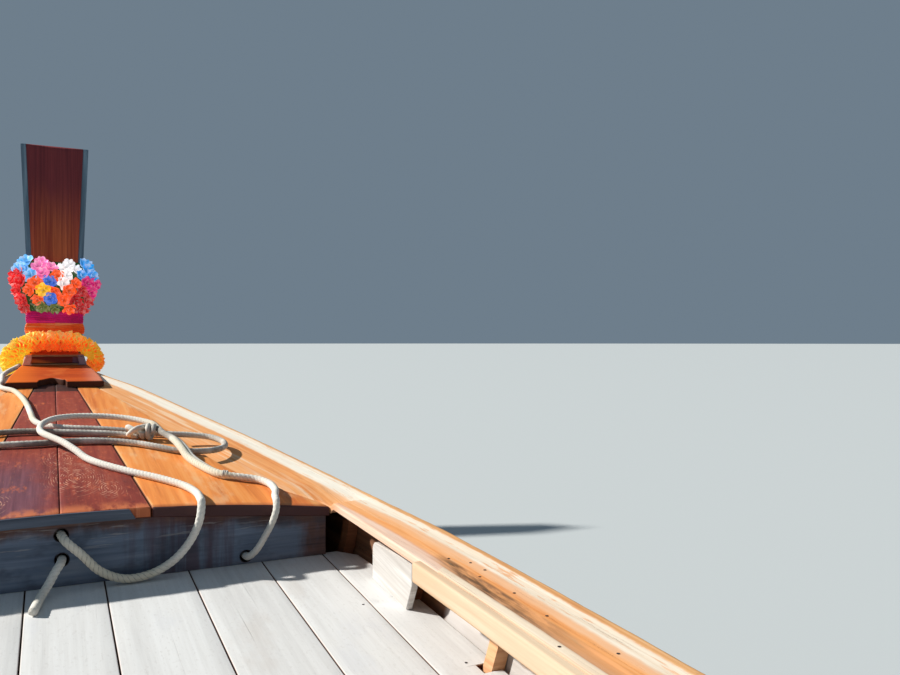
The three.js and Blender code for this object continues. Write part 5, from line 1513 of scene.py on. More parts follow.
def blossom(shell, spot, out, size, tone, spin, petals, pale):
    """Flower of two layers of round petals: the radius is a power of the cosine of the angle, the cup rises
    towards the rim, and the inner layer is smaller, steeper and turned by half a petal. The rims fade to
    white by a squared sine of the angle."""
    out = unit(np.asarray(out, float))
    one = unit(np.cross(out, (0, 0, 1) if abs(out[2]) < .9 else (1, 0, 0)))
    two = np.cross(out, one)
    angle = np.linspace(0, TAU, petals * 5, endpoint=False)
    rim = .66 + .34 * np.abs(np.cos(petals * angle / 2)) ** .55
    shares = np.array([.10, .60, 1.0, .55, .10])[:, None]
    radius = shares * np.where(shares > .2, rim, 1)
    at_rim = np.array([0, .2, 1, .2, 0])[:, None, None]
    frost = .5 * np.sin(angle * 1.5 + spin * 5)[None, :, None] ** 2 * at_rim
    for grown, lifted, steep, turn in ((1, 0, .34, spin), (.62, .16, .62, spin + math.pi / petals)):
        lift = np.array([.08, .40 * steep, steep, .40 * steep - .14, -.10])[:, None] + lifted
        lift = lift + np.where(shares > .9, .10 * np.sin(angle * petals + spin), 0)
        way = np.cos(angle + turn)[:, None] * one + np.sin(angle + turn)[:, None] * two
        points = spot + size * (grown * radius[..., None] * way + lift[..., None] * out)
        # painted shade: the tint is darker at the flower's heart and on the petals' undersides
        deep = np.array([.45, .85, 1.0, .7, .45])[:, None, None]
        tint = np.array(rgb(*tone)[:3]) * deep * (1 - .3 * np.cos(angle * 2 + spin)[None, :, None] ** 2)
        tint = tint + (np.array((1, .9, .86)) - tint) * frost * pale
        shell.grid(points, tint=tint, wrap=(False, True), ends=True)
    return shell


def flower_garland():
    """Blossoms packed in rows round the prow, over a green core darkened as painted shade between them."""
    draw = np.random.default_rng(12)
    swells = ((1.479, .012), (1.51, .040), (1.59, .070), (1.69, .072), (1.77, .046), (1.815, .012))
    core = np.stack([prow_ring(z, s * .72, s * .72, 40) for z, s in swells])
    # painted shade: the core's green is darkened to a third
    green = np.array(rgb(*PETAL_TONES["green"])[:3]) * .35
    inner = np.stack([prow_ring(z, .001, .002, 40) for z in (1.815, 1.479)])
    shell = Shell().grid(np.concatenate([core, inner]), tint=green, wrap=(True, True))
    for row, (z, swell, count, tones) in enumerate(FLOWER_ROWS):
        ring = prow_ring(z, swell, swell, 240)
        centre = ring.mean(0)
        for k in range(count):
            at = int((k + .5 * (row % 2)) / count * 240 + draw.uniform(-2, 2)) % 240
            spot = ring[at]
            y = spot[1] * 1000 + draw.uniform(-12, 12)
            tone = next(tone for tone, ends in tones if y > ends)
            out = spot - centre
            out[2] = (z - 1.655) * .9
            out = unit(out) + draw.uniform(-.3, .3, 3)
            size, spin, number = draw.uniform(.044, .056), draw.uniform(0, TAU), int(draw.integers(5, 7))
            if tone:
                pale = .9 if tone in ("light_blue", "pink", "cyan") else .15
                spot = spot + draw.uniform(-.007, .007, 3)
                blossom(shell, spot, out, size, PETAL_TONES[tone], spin, number, pale)
    shell.build("flower_garland", petals(), replaces=["garland_flowers"], smooth=60)


flower_garland()

LEI = np.array([[4828.5, 0, 1287], [4827, 110, 1285], [4822, 194, 1256], [4856, 252, 1198],
                [4930, 262, 1150], [5030, 248, 1118], [5130, 204, 1080], [5225, 130, 1046],
                [5266, 0, 1030]]) / 1000


def marigold_lei():
    """Ruffled discs threaded close on a ring: the rim of each waves to and fro along the thread, and its
    edge is cut into small teeth. They are yellow to port, deep orange low to starboard and olive at the
    starboard corner; each is painted deeper orange towards the thread as shade between the discs, with a
    painted peach highlight where it faces up and painted red shade where it faces down."""
    draw = np.random.default_rng(3)
    loop = np.concatenate([LEI, LEI[-2:0:-1] * (1, -1, 1)])
    line = curve(loop * (1, .965, 1), .0150, True) + (0, .004, -.008)
    tangent, normal, side = carried(line, (1, 0, .2), True)
    tones = {"orange": rgb(255, 130, 30), "yellow": rgb(255, 226, 50), "peach": rgb(255, 206, 150),
             "deep": rgb(236, 58, 8), "olive": rgb(226, 186, 34)}
    tones = {name: np.array(tone[:3]) for name, tone in tones.items()}
    angle = np.linspace(0, TAU, 48, endpoint=False)
    shares = np.array([.22, .60, .88, 1.0, .90, .62, .22])
    lift = np.array([.0050, .0062, .0040, 0, -.0040, -.0062, -.0050])
    ruffle = np.array([0, .003, .009, .013, .009, .003, 0])
    deep = np.array([0, .30, .80, 1, .80, .30, 0])[:, None, None]
    shell = Shell()
    for k in range(len(line)):
        y, z = line[k, 1], line[k, 2]
        port = float(np.clip((y - .04) / .10, 0, 1))
        corner = float(np.clip((-y - .15) / .04, 0, 1) * np.clip((z - 1.17) / .04, 0, 1))
        end = float(np.clip((-y - .10) / .04, 0, 1) * np.clip((1.19 - z) / .03, 0, 1))
        tone = tones["orange"] + (tones["yellow"] - tones["orange"]) * max(port, draw.uniform(.1, .7))
        tone = tone + (tones["olive"] - tone) * corner * .9
        tone = tone + (tones["deep"] - tone) * end * .6
        spin = draw.uniform(0, TAU)
        size = (.063 - .011 * float(np.clip((-y - .10) / .06, 0, 1))) * (.86 + .24 * draw.uniform())
        waves = 5 + int(draw.integers(0, 4))
        rim = 1 + (.07 * np.sin(angle * waves * 2 + spin) + .04 * np.sin(angle * 17 + spin * 3)) * (
            shares[:, None] > .8)
        radius = (size * shares[:, None] * rim)[..., None]
        shift = (lift[:, None] + ruffle[:, None] * np.sin(angle * waves + spin))[..., None]
        way = np.cos(angle)[:, None] * normal[k] + np.sin(angle)[:, None] * side[k]
        points = line[k] + radius * way + shift * tangent[k]
        rise = way[None, :, 2:]
        inboard = float(np.clip((.19 - abs(y)) / .06, 0, 1))
        # painted shade: red where a disc faces down, on the lei's inner part
        red = np.clip(.2 - rise * 1.8, 0, 1) * inboard * draw.uniform(.6, 1)
        # painted highlight: peach where a disc faces up, mostly on the lei's upper part
        bright = np.clip(rise * 1.6 + .1, 0, 1) * draw.uniform(0, 1) * (.3 + .7 * float(z > 1.2))
        # painted shade: deeper orange on the rows next to the thread, between the discs
        shade = tones["deep"] * (1 - deep) + tone * deep
        shade = shade + (tones["deep"] * (.7 + .5 * deep) - shade) * red
        shade = shade + (tones["peach"] - shade) * bright * deep * .75
        shell.grid(points, tint=shade * draw.uniform(.86, 1.0), wrap=(False, True), ends=True)
    shell.build("marigold_lei", marigold_petals(), replaces=["garland_marigold"], smooth=70)


marigold_lei()

# Floor, stern deck and benches


FLOOR_NAILS = [(1.40, -.862), (.926, -.982)]      # the heads that show in the fore well


def floor_planks():
    """Nine boards between the seams, cupped a little. Each is cut back where the planking comes in, and
    further beside a frame, and has two nails at each frame it crosses aft of x = -0.2 where it is broad
    enough."""
    notch = np.concatenate([[x - FRAME_HALF - .0031, x - FRAME_HALF - .003, x + FRAME_HALF + .003,
                             x + FRAME_HALF + .0031] for x in FRAME_XS])
    us = np.unique(np.concatenate([np.linspace(FLOOR_AFT, FLOOR_FORE, 90),
                                   notch[(notch > FLOOR_AFT + .05) & (notch < FLOOR_FORE - .05)]]))
    under = floor_top(us) - FLOOR_THICK
    clear, ribbed = room(us, under, PLANK + .008), room(us, under, PLANK + .0025 + FRAME_DEEP + .019)
    at_rib = np.abs(us[:, None] - FRAME_XS[None]).min(1) < FRAME_HALF + .00305
    limit = np.where(at_rib, np.minimum(clear, ribbed), clear)

    def place(u, v, w):
        cup = .0007 * ripple(u * 1.5 + v * 7, 3.) * np.clip(1 - w / .006, 0, 1)
        return np.stack([u, v, floor_top(u) + cup - w], -1)
    nails, spots = Shell(), list(FLOOR_NAILS)
    for k in range(9):
        low, high = FLOOR_SEAMS[k + 1] + .0022, FLOOR_SEAMS[k] - .0022
        fits = np.minimum(high, limit) - np.maximum(low, -limit) > .03
        own = us[fits]
        bounds = own, limit[fits]
        board(part := Shell(), place, own, lambda u: np.maximum(low, -np.interp(u, *bounds)),
              lambda u: np.minimum(high, np.interp(u, *bounds)), FLOOR_THICK, .003, 7, (k * .37) % 1)
        part.build(f"floor_board_{k + 1}", floor_finish, replaces=[f"floor_plank_{k + 1}"])
        for x in FRAME_XS[(FRAME_XS > own[0]) & (FRAME_XS < -.2)]:
            wide = float(np.interp(x, *bounds))
            a, b = max(low, -wide), min(high, wide)
            if b - a > .09:
                spots += [(x + .006 * ripple(y * 30), y) for y in (a + .035, b - .035)]
    for x, y in spots:
        studs(nails, (x, y, float(floor_top(x)) + .0004), (0, 0, 1), .0042, .0008, 7)
    nails.build("floor_nails", iron)


def stern_deck():
    """Six boards fore and aft, and a riser of two boards that closes the load space behind."""
    aft, fore = STERN_X - STERN_RAKE * (STERN_DECK_Z - .03) + .0463, FLOOR_AFT - .0003
    inside = PLANK + .0025 + FRAME_DEEP + .004
    us = np.linspace(aft, fore, 40)
    limit = room(us, STERN_DECK_Z - .015, inside)
    shell = Shell()
    seams = np.array([-.75, -.46, -.22, 0, .22, .46, .75])
    for k in range(6):
        a, b = seams[k] + .0015, seams[k + 1] - .0015
        fits = np.minimum(b, limit) - np.maximum(a, -limit) > .03
        own = us[fits], limit[fits]
        board(shell, lambda u, v, w: np.stack([u, v, STERN_DECK_Z - w], -1), own[0],
              lambda u: np.maximum(a, -np.interp(u, *own)), lambda u: np.minimum(b, np.interp(u, *own)), .03,
              .003, 5, (k * .41) % 1)
    foot = float(floor_top(fore)) - FLOOR_THICK - .04
    for low, high, seed in ((foot, .355, .3), (.358, .489, .8)):
        board(shell, lambda u, v, w: np.stack([fore - w + u * 0, u * (room(fore, v, inside) - .003), v], -1),
              np.linspace(-1, 1, 24), low, high, .022, .003, 5, seed, (.85, 1))
    shell.build("stern_boards", stern_wood, replaces=["stern_deck"])


def bench(name, x, top):
    """Two seat boards on the caps, with three legs to the floor."""
    half = min(float(cap_inner(x - BENCH_HALF)), float(cap_inner(x + BENCH_HALF))) + .07
    shell = Shell()
    for low, high, seed in ((-BENCH_HALF, -.002, .2), (.002, BENCH_HALF, .7)):
        def place(u, v, w):
            worn = .0006 * (1 + ripple(u * 3 + v * 20, seed * 9)) * (w < .01)
            return np.stack([x + v, u, top - w - worn], -1)
        board(shell, place, np.linspace(-half, half, 50), low, high,
              BENCH_THICK, .006, 5, seed + x)
    for y in (-.5, 0, .5):
        block(shell, (x - .02, y - .025, float(floor_top(x + .02)) + .0006), (x + .02, y + .025, top - .03),
              .003, (.4, 1, 1))
    shell.build("bench_seat_" + name, bench_wood, replaces=["bench_" + name])


floor_planks()
stern_deck()
for name, x, top in BENCHES:
    bench(name, x, top)

# Planking


def planking():
    """Each strake as two boards between girth lines, laid along the hull's own surface."""
    ts = 1 - (1 - np.linspace(0, 1, 100)) ** 1.15
    for word, side in SIDES:
        def place(u, v, w):
            return in_planking(u, v, w) * (1, side, 1)
        for number, (name, low, high) in enumerate(STRAKES):
            shell = Shell()
            cuts = np.linspace(low, high, 3)
            for k in range(2):
                a, b = cuts[k] + .0006, cuts[k + 1] - (0 if cuts[k + 1] == 1 else .0006)
                board(shell, place, ts, a, b, PLANK, .0025, 5,
                      ((number * 2 + k) * .29 + .1 * side) % 1, (10.4, 1.35))
            shell.build(f"planks_{name}_{word}", planking_finish, replaces=[f"strake_{name}_{word}"])


planking()

# Canopy: posts on the caps, bent hoops, rails, and one curved cloth

HOOP_XS = [-3.62, -2.58, -1.54, -.5]
EAVE_HALF, EAVE_Z, RISE = 0.94, 1.70, 0.33
PIPE = 0.016


def hoop_point(x, k):
    """A hoop is half an oval: y and z follow the sine and cosine of k quarter turns from its crown."""
    x, k = np.broadcast_arrays(x, k)
    return np.stack([x, EAVE_HALF * np.sin(k * np.pi / 2), EAVE_Z + RISE * np.cos(k * np.pi / 2)], -1)


def hoop_out(k):
    """Outward normal of the hoop's oval."""
    k = np.asarray(k, float)
    return unit(np.stack([k * 0, np.sin(k * np.pi / 2) / EAVE_HALF, np.cos(k * np.pi / 2) / RISE], -1))


def canopy_frame():
    """Hoops on straight posts with round feet, and five rails along them with a clamp at each hoop."""
    shell, feet = Shell(), Shell()
    for x in HOOP_XS:
        tube(shell, hoop_point(x, np.linspace(-1.05, 1.05, 60)), PIPE, 14, up=(1, 0, 0))
        for _, side in SIDES:
            y, z = min(float(cap_outer(x)) - .075, 1.04) * side, float(cap_top(x)) + .0003
            top = np.array([x, (EAVE_HALF - .006) * side, EAVE_Z - .002])
            tube(shell, spaced([(x, y, z), top], .12), PIPE, 14, up=(1, 0, 0))
            drum(feet, (x, y, z + .0004), (x, y, z + .006), .042, .001)
            drum(feet, (x, y, z + .005), (x, y, z + .05), PIPE + .004, .002)
            way = unit(top - (x, y, z))
            drum(feet, top - way * .10, top - way * .04, PIPE + .003, .002)
            for a in np.radians([45, 135, 225, 315]):
                studs(feet, (x + .030 * math.cos(a), y + .030 * math.sin(a), z + .006), (0, 0, 1), .005,
                      .004, 6)
    for k in (-.96, -.5, 0, .5, .96):
        ends = hoop_point(np.array([HOOP_XS[0] - .09, HOOP_XS[3] + .06]), k) - hoop_out(k) * .008
        tube(shell, spaced(ends, .2), PIPE - .004, 12)
        for x in HOOP_XS:
            spot = hoop_point(x, k) - hoop_out(k) * .008
            drum(feet, spot - (.018, 0, 0), spot + (.018, 0, 0), PIPE - .0015, .002, 14)
    pipes = metal_paint("canopy_pipe", "canopy_pipe", rgb(176, 184, 188), rgb(206, 212, 214),
                        rgb(150, 84, 46), .2, .35, .8, 7)
    shell.build("canopy_pipes", pipes, replaces=["canopy_frame"], smooth=60)
    feet.build("canopy_feet", pipes)


def canopy_cover():
    """One cloth over the hoops: it hangs a little between them by a squared sine, dips between the rails,
    and its edges hang down past the eaves in shallow waves."""
    xs = np.linspace(HOOP_XS[0] - .147, HOOP_XS[3] + .117, 150)[:, None]
    ks = np.linspace(-1.05, 1.05, 110)[None]
    bay = np.clip((xs - HOOP_XS[0]) / 1.04, 0, 3)
    sag = .020 * np.sin(np.pi * (bay % 1)) ** 2 * (np.sin(np.pi * (ks * 2 % 1)) ** 2 * .7 + .3)
    sag = sag * (np.abs(ks) < 1)
    drop = np.array([.018, .036, .052, .060])
    base, out = hoop_point(xs, ks), hoop_out(np.broadcast_to(ks, (150, 110)))

    def layer(lift):
        top = base + out * (lift - sag[..., None])
        wave = .006 * np.sin(xs * 14) * drop / .06
        skirts = []
        for k, side in ((0, -1), (-1, 1)):
            edge = top[:, k][:, None]
            fall = np.stack([np.zeros((150, 4)), side * (.002 + wave) + 0 * drop, -drop + 0 * wave], -1)
            skirts.append(edge + fall)
        return np.concatenate([skirts[0][:, ::-1], top, skirts[1]], 1)
    outer, inner = layer(PIPE + .0045), layer(PIPE + .0012)
    section = np.concatenate([outer, inner[:, ::-1]], 1)
    u, v = lengths(outer[:, 55]), lengths(outer[75])
    back = v[-1] + .004 + v[-1] - v[::-1]
    uv = np.stack(np.meshgrid(u, np.concatenate([v, back, [2 * v[-1] + .008]]), indexing="ij"), -1)
    cloth = Finish("canopy_cloth", "canopy_canvas", Roughness=.8, Sheen_Weight=.1)
    cu, cv = cloth.uv()
    weave = (cu * 1500).math("SINE") * (cv * 1500).math("SINE") * .5 + .5
    slow = cloth.noise(cu * 2.2, cv * 2.2, .3, 5, .6)
    tone = cloth.ramp(slow * .9 + weave * .08, (.3, rgb(34, 78, 124)), (.52, rgb(58, 112, 164)),
                      (.75, rgb(104, 152, 194)))
    salt = cloth.noise(cu * 9, cv * 3, .8, 5, .65).step(.58, .74)
    tone = cloth.mix(salt * .4, tone, rgb(170, 188, 200))
    cloth.feed(Base_Color=tone).bump(weave * .3 + slow, .0012)
    shell = Shell().grid(section, uv, wrap=(False, True), ends=True)
    cover = shell.build("canopy_cloth", cloth, replaces=["canopy_cover"], smooth=70)


canopy_frame()
canopy_cover()

# Stern gear: bed, swivel, engine, long tail and propeller

PIVOT = np.array([-5.2, 0, 1.0])
SLOPE = math.radians(18)
BED_TOP = 0.69
TAIL_LONG = 3.95


def on_drive(points):
    """From the engine unit's own frame, x forward along the drive from the tilt pin, to the boat's."""
    x, y, z = np.moveaxis(np.asarray(points, float), -1, 0)
    return PIVOT + np.stack([x * math.cos(SLOPE) - z * math.sin(SLOPE), y,
                             x * math.sin(SLOPE) + z * math.cos(SLOPE)], -1)


bed_wood = timber("hull_wood", "bed_wood", rgb(70, 38, 24), rgb(122, 72, 44), rgb(168, 112, 72), 8, .5, .65,
                  .001)
steel_paint = metal_paint("painted_steel", "yoke_paint", rgb(72, 82, 88), rgb(112, 122, 126),
                          rgb(132, 70, 38), .5, .5, .2, 14)
engine_paint = metal_paint("engine_paint", "engine_paint", rgb(52, 104, 130), rgb(92, 138, 156),
                           rgb(128, 66, 34), .35, .42, .1, 11)
bare_steel = metal_paint("bare_steel", "bare_steel", rgb(150, 152, 154), rgb(196, 198, 200),
                         rgb(124, 70, 40), .3, .35, .9, 16)
rusty_pipe = metal_paint("rusty_pipe", "rusty_pipe", rgb(120, 84, 62), rgb(160, 120, 92), rgb(132, 62, 30),
                         .9, .7, .5, 14)
bronze = metal_paint("bronze", "bronze", rgb(176, 138, 74), rgb(214, 180, 116), rgb(84, 110, 84), .3, .32,
                     .95, 18)
rubber = metal_paint("painted_steel", "rubber", rgb(34, 34, 36), rgb(64, 64, 66), rgb(52, 46, 42), .2, .7,
                     0., 20)


def engine_bed():
    """Two blocks of timber, a round socket and four bolts."""
    shell, ring = Shell(), Shell()
    x = PIVOT[0]
    block(shell, (x - .11, -.29, STERN_DECK_Z + .0003), (x + .11, .29, STERN_DECK_Z + .11), .008, (.3, 1, 1))
    block(shell, (x - .09, -.14, STERN_DECK_Z + .108), (x + .09, .14, BED_TOP - .02), .006, (.6, 1, 1))
    drum(ring, (x, 0, BED_TOP - .022), (x, 0, BED_TOP), .095, .003, 32)
    for sx in (-.085, .085):
        for y in (-.235, .235):
            spot = (x + sx, y, STERN_DECK_Z + .11)
            studs(ring, spot, (0, 0, 1), .016, .005, 6)
            studs(ring, (spot[0], y, spot[2] + .004), (0, 0, 1), .008, .010, 6)
    shell.build("bed_timbers", bed_wood, replaces=["engine_bed"])
    ring.build("bed_socket", steel_paint)


def swivel_yoke():
    """Turntable, stub, cross plate, and two cheeks whose heads are rounds about the tilt pin."""
    shell = Shell()
    x, base = PIVOT[0], BED_TOP + .0003
    drum(shell, (x, 0, base), (x, 0, base + .022), .092, .003, 32)
    drum(shell, (x, 0, base + .02), (x, 0, base + .058), .048, .002, 24)
    block(shell, (x - .06, -.228, base + .055), (x + .06, .228, base + .073), .003)
    head = [(x + .05 * math.cos(a), PIVOT[2] + .05 * math.sin(a)) for a in np.linspace(0, math.pi, 15)]
    outline = [(x + .05, base + .060)] + head + [(x - .05, base + .060)]
    for _, side in SIDES:
        cutout(shell, outline, lambda a, b, w: np.stack([a, side * (.212 + w) + a * 0, b], -1), .016, .002)
        for dx in (-.03, .03):
            studs(shell, (x + dx, side * .190, base + .073), (0, 0, 1), .009, .008, 6)
        gusset = [(.212, base + .072), (.212, base + .150), (.150, base + .072)]
        cutout(shell, gusset, lambda a, b, w: np.stack([x - .004 + w + a * 0, side * a, b], -1), .008, .001)
    shell.build("yoke", steel_paint, "swivel", ["swivel_yoke"])


def cradle_and_tail():
    """Two bearers with cross pieces on the tilt pin; the tail tube with its brace, clamps and fin."""
    shell, tail = Shell(on_drive), Shell(on_drive)
    for side in (1, -1):
        a, b = sorted((.140 * side, .190 * side))
        block(shell, (-.64, a, -.05), (.56, b, .01), .003)
    for x in (-.61, -.2, .18, .52):
        block(shell, (x, -.150, -.045), (x + .04, .150, 0), .003)
    drum(shell, (0, -.2117, 0), (0, .2117, 0), .026, .002, 20)
    block(shell, (-.60, -.06, -.045), (-.56, .06, .040), .003)
    for x in (-.58, -.4, .3, .48):
        for side in (1, -1):
            studs(shell, (x, side * .165, .01), (0, 0, 1), .009, .008, 6)
    lathe(tail, (-.392, 0, .03), (-.64, 0, .024), [(0, .063), (.004, .066), (.03, .066), (.034, .060),
                                                   (.20, .046), (.204, .050), (.245, .050), (.248, .046)],
          24)
    drum(tail, (-.63, 0, .024), (-3.89, 0, 0), .030, .002, 20)
    drum(tail, (-.64, 0, -.03), (-2.3, 0, -.014), .012, .002, 12)
    for x in (-1.2, -1.75, -2.28):
        z = .024 * (x + 3.9) / 3.27
        lathe(tail, (x + .02, 0, z), (x - .02, 0, z), [(0, .031), (.003, .035), (.037, .035), (.04, .031)],
              20)
        block(tail, (x - .012, -.005, z - .050), (x + .012, .005, z - .028), .001)
    lathe(tail, (-3.79, 0, 0), (-3.898, 0, 0), [(0, .031), (.006, .038), (.05, .038), (.104, .032),
                                                (.108, .028)], 24)
    fin = [(-3.87, -.02), (-3.65, -.02), (-3.68, -.17), (-3.745, -.188), (-3.81, -.19), (-3.85, -.10)]
    cutout(tail, fin, lambda a, b, w: np.stack([a, w - .004 + a * 0, b], -1), .008, .002)
    shell.build("cradle", steel_paint, "engine", ["tail_and_cradle"])
    tail.build("long_tail", bare_steel, "engine")


def belt_loop(wheels):
    """Outline of a belt round wheels (y, z, radius), given in turning order: arcs joined by tangents."""
    points = []
    count = len(wheels)
    for k in range(count):
        before, here, after = wheels[k - 1], wheels[k], wheels[(k + 1) % count]
        ends = []
        for one, two in ((before, here), (here, after)):
            dy, dz, dr = two[0] - one[0], two[1] - one[1], one[2] - two[2]
            ends.append(math.atan2(dz, dy) - math.pi / 2 + math.asin(dr / math.hypot(dy, dz)))
        turn = (ends[1] - ends[0]) % TAU
        for a in np.linspace(ends[0], ends[0] + turn, 14):
            points.append((here[0] + here[2] * math.cos(a), here[1] + here[2] * math.sin(a)))
    return np.array(points)


def engine_block():
    """Open engine: chamfered boxes for its castings, and turned profiles for the flywheel housing, ports,
    injectors, pulleys, generator, filter and air cleaner, with a belt, a hose and a fuel pipe."""
    painted, metal, black = Shell(on_drive), Shell(on_drive), Shell(on_drive)
    block(painted, (-.30, -.125, .11), (.33, .125, .34), .008)
    block(painted, (-.24, -.09, .03), (.27, .09, .12), .010)
    block(painted, (-.29, -.118, .098), (.32, .118, .112), .003)
    block(painted, (-.27, -.095, .335), (.30, .095, .392), .005)
    block(painted, (-.24, -.060, .388), (.27, .060, .43), .012)
    for x in np.linspace(-.24, .27, 6):
        for side in (1, -1):
            studs(metal, (x, side * .080, .392), (0, 0, 1), .008, .007, 6)
            studs(metal, (x, side * .1255, .150), (0, side, 0), .006, .004, 6)
    for x in np.linspace(-.18, .20, 4):
        for side in (1, -1):
            lathe(painted, (x, side * .120, .215), (x, side * .14, .215),
                  [(0, .028), (.009, .028), (.010, .024), (.007, .020), (.007, .0)], 18)
        block(painted, (x - .012, -.1285, .235), (x + .012, -.120, .325), .003)
        lathe(metal, (x, -.093, .366), (x, -.125, .378), [(0, .008), (.012, .008), (.014, .006),
                                                          (.034, .006), (.036, .004)], 12)
    lathe(painted, (-.39, 0, .12), (-.29, 0, .15), [(0, .112), (.004, .120), (.03, .128), (.085, .155),
                                                    (.088, .165), (.102, .165), (.104, .160)], 32)
    for a in np.linspace(0, TAU, 10, endpoint=False):
        studs(metal, (-.302, .158 * math.cos(a) * .98, .147 + .158 * math.sin(a) * .98), (-1, 0, -.25), .007,
              .006, 6)
    wheel = [(0, .03), (.004, .072), (.010, .085), (.018, .085), (.026, .070), (.034, .085), (.044, .085),
             (.048, .078), (.048, .030), (.060, .028), (.060, .012)]
    lathe(metal, (.327, 0, .17), (.39, 0, .17), wheel, 32)
    small = [(0, .02), (.004, .050), (.008, .058), (.014, .058), (.020, .046), (.026, .058), (.034, .058),
             (.036, .050), (.036, .020), (.045, .018)]
    lathe(metal, (.330, 0, .32), (.38, 0, .32), small, 28)
    lathe(metal, (.187, -.21, .23), (.33, -.21, .23), [(0, .040), (.005, .060), (.04, .062), (.05, .058),
                                                       (.055, .062), (.09, .062), (.1, .058), (.105, .062),
                                                       (.13, .060), (.135, .045), (.136, .014)], 24)
    lathe(metal, (.327, -.21, .23), (.37, -.21, .23), [(0, .012), (.012, .030), (.018, .037), (.024, .030),
                                                      (.030, .037), (.036, .030), (.036, .012)], 24)
    block(painted, (.210, -.180, .20), (.31, -.115, .222), .004)
    block(painted, (.235, -.175, .268), (.25, -.115, .30), .003)
    flat = belt_loop([(0, .17, .072), (0, .32, .048), (-.21, .23, .031)])
    loop = np.c_[np.full(len(flat), .352), flat]
    middle = loop.mean(0)
    out = unit(loop - middle)
    section = np.stack([loop + out * .004 + (.006, 0, 0), loop + out * .004 - (.006, 0, 0),
                        loop - out * .004 - (.004, 0, 0), loop - out * .004 + (.004, 0, 0)], 1)
    black.grid(section, wrap=(True, True))
    for x0, side in ((-.18, 1), (.18, 1), (-.18, -1), (.18, -1)):
        a, b = sorted((.100 * side, .185 * side))
        block(painted, (x0, a, .035), (x0 + .05, b, .12), .005)
        drum(black, (x0 + .025, side * .165, .0103), (x0 + .025, side * .165, .038), .022, .003, 16)
    block(painted, (-.18, .100, .235), (.16, .165, .29), .008)
    for x in (-.14, -.05, .04, .13):
        drum(painted, (x, .094, .262), (x, .13, .262), .020, .003, 16)
        studs(metal, (x, .166, .275), (0, 1, 0), .006, .005, 6)
    drum(painted, (.04, 0, .425), (.04, 0, .470), .040, .002, 20)
    lathe(black, (.04, 0, .465), (.04, 0, .535), [(0, .090), (.004, .112), (.012, .115), (.046, .115),
                                                  (.050, .108), (.054, .108), (.056, .114), (.062, .112),
                                                  (.068, .060), (.0695, .0)], 36)
    studs(metal, (.04, 0, .5345), (0, 0, 1), .009, .0045, 6)
    hose = curve([(.30, .06, .345), (.335, .085, .37), (.30, .120, .40), (.18, .128, .405), (.08, .105, .40),
                  (.02, .085, .398)], .006)
    tube(black, hose, .011, 12)
    pipe = curve([(-.20, -.1255, .18), (-.20, -.150, .20), (-.10, -.158, .30), (.05, -.150, .375),
                  (.16, -.128, .38)], .006)
    tube(metal, pipe, .004, 8)
    lathe(metal, (-.06, -.120, .17), (-.06, -.205, .17), [(0, .030), (.01, .030), (.012, .036), (.075, .036),
                                                         (.082, .030)], 20)
    painted.build("engine_castings", engine_paint, "engine", ["engine_block"])
    metal.build("engine_metal", bare_steel, "engine")
    black.build("engine_rubber", rubber, "engine")


def exhaust():
    """Bent pipe with a flange and a rolled mouth."""
    line = curve(np.array([[-60, 166, 262], [-60, 196, 262], [-120, 222, 270], [-260, 230, 330],
                           [-360, 232, 460], [-380, 232, 620]]) / 1000, .008)
    shell = Shell(on_drive)
    tube(shell, line[:-1], .024, 20)
    end, way = line[-1], unit(line[-1] - line[-3])
    lathe(shell, end - way * .012, end, [(0, .024), (.004, .026), (.014, .026), (.0155, .0235), (.004, .020),
                                        (-.03, .019)], 20)
    drum(shell, (-.06, .1655, .262), (-.06, .174, .262), .040, .002, 20)
    for a in np.radians([0, 90, 180, 270]):
        studs(shell, (-.06 + .032 * math.cos(a), .174, .262 + .032 * math.sin(a)), (0, 1, 0), .005, .005, 6)
    shell.build("exhaust", rusty_pipe, "engine", ["exhaust_pipe"])


def tiller():
    """Long bent handle with a ribbed grip, a throttle lever and its cable."""
    line = curve(np.array([[570, 0, -20], [680, 0, -8], [820, 0, 24], [960, 0, 44], [1120, 0, 56]]) / 1000,
                 .01)
    shell, grip = Shell(on_drive), Shell(on_drive)
    tube(shell, line, .017, 18)
    lathe(shell, (.561, 0, -.02), (.585, 0, -.02), [(0, .030), (.003, .034), (.02, .034), (.024, .026)], 20)
    rib = [(0, .019)]
    for k in range(14):
        x = .006 + k * .0107
        rib += [(x, .0205), (x + .003, .022), (x + .0075, .022), (x + .0095, .0205)]
    lathe(grip, (1.10, 0, .055), (1.26, 0, .062), rib + [(.157, .022), (.160, .017)], 20)
    lathe(shell, (1.02, 0, .050), (1.05, 0, .0515), [(0, .018), (.002, .022), (.028, .022), (.030, .018)],
          18)
    lever = spaced([(1.035, .020, .052), (1.06, .050, .050), (1.10, .058, .052), (1.16, .058, .056)], .01)
    tube(shell, lever, .004, 8)
    cable = curve([(1.035, .022, .052), (.9, .024, .030), (.72, .026, -.004), (.60, .05, -.02),
                   (.50, .10, .03), (.40, .128, .10)], .01)
    tube(grip, cable, .0035, 8)
    shell.build("tiller", bare_steel, "engine", ["tiller_handle"])
    grip.build("tiller_grip", rubber, "engine")


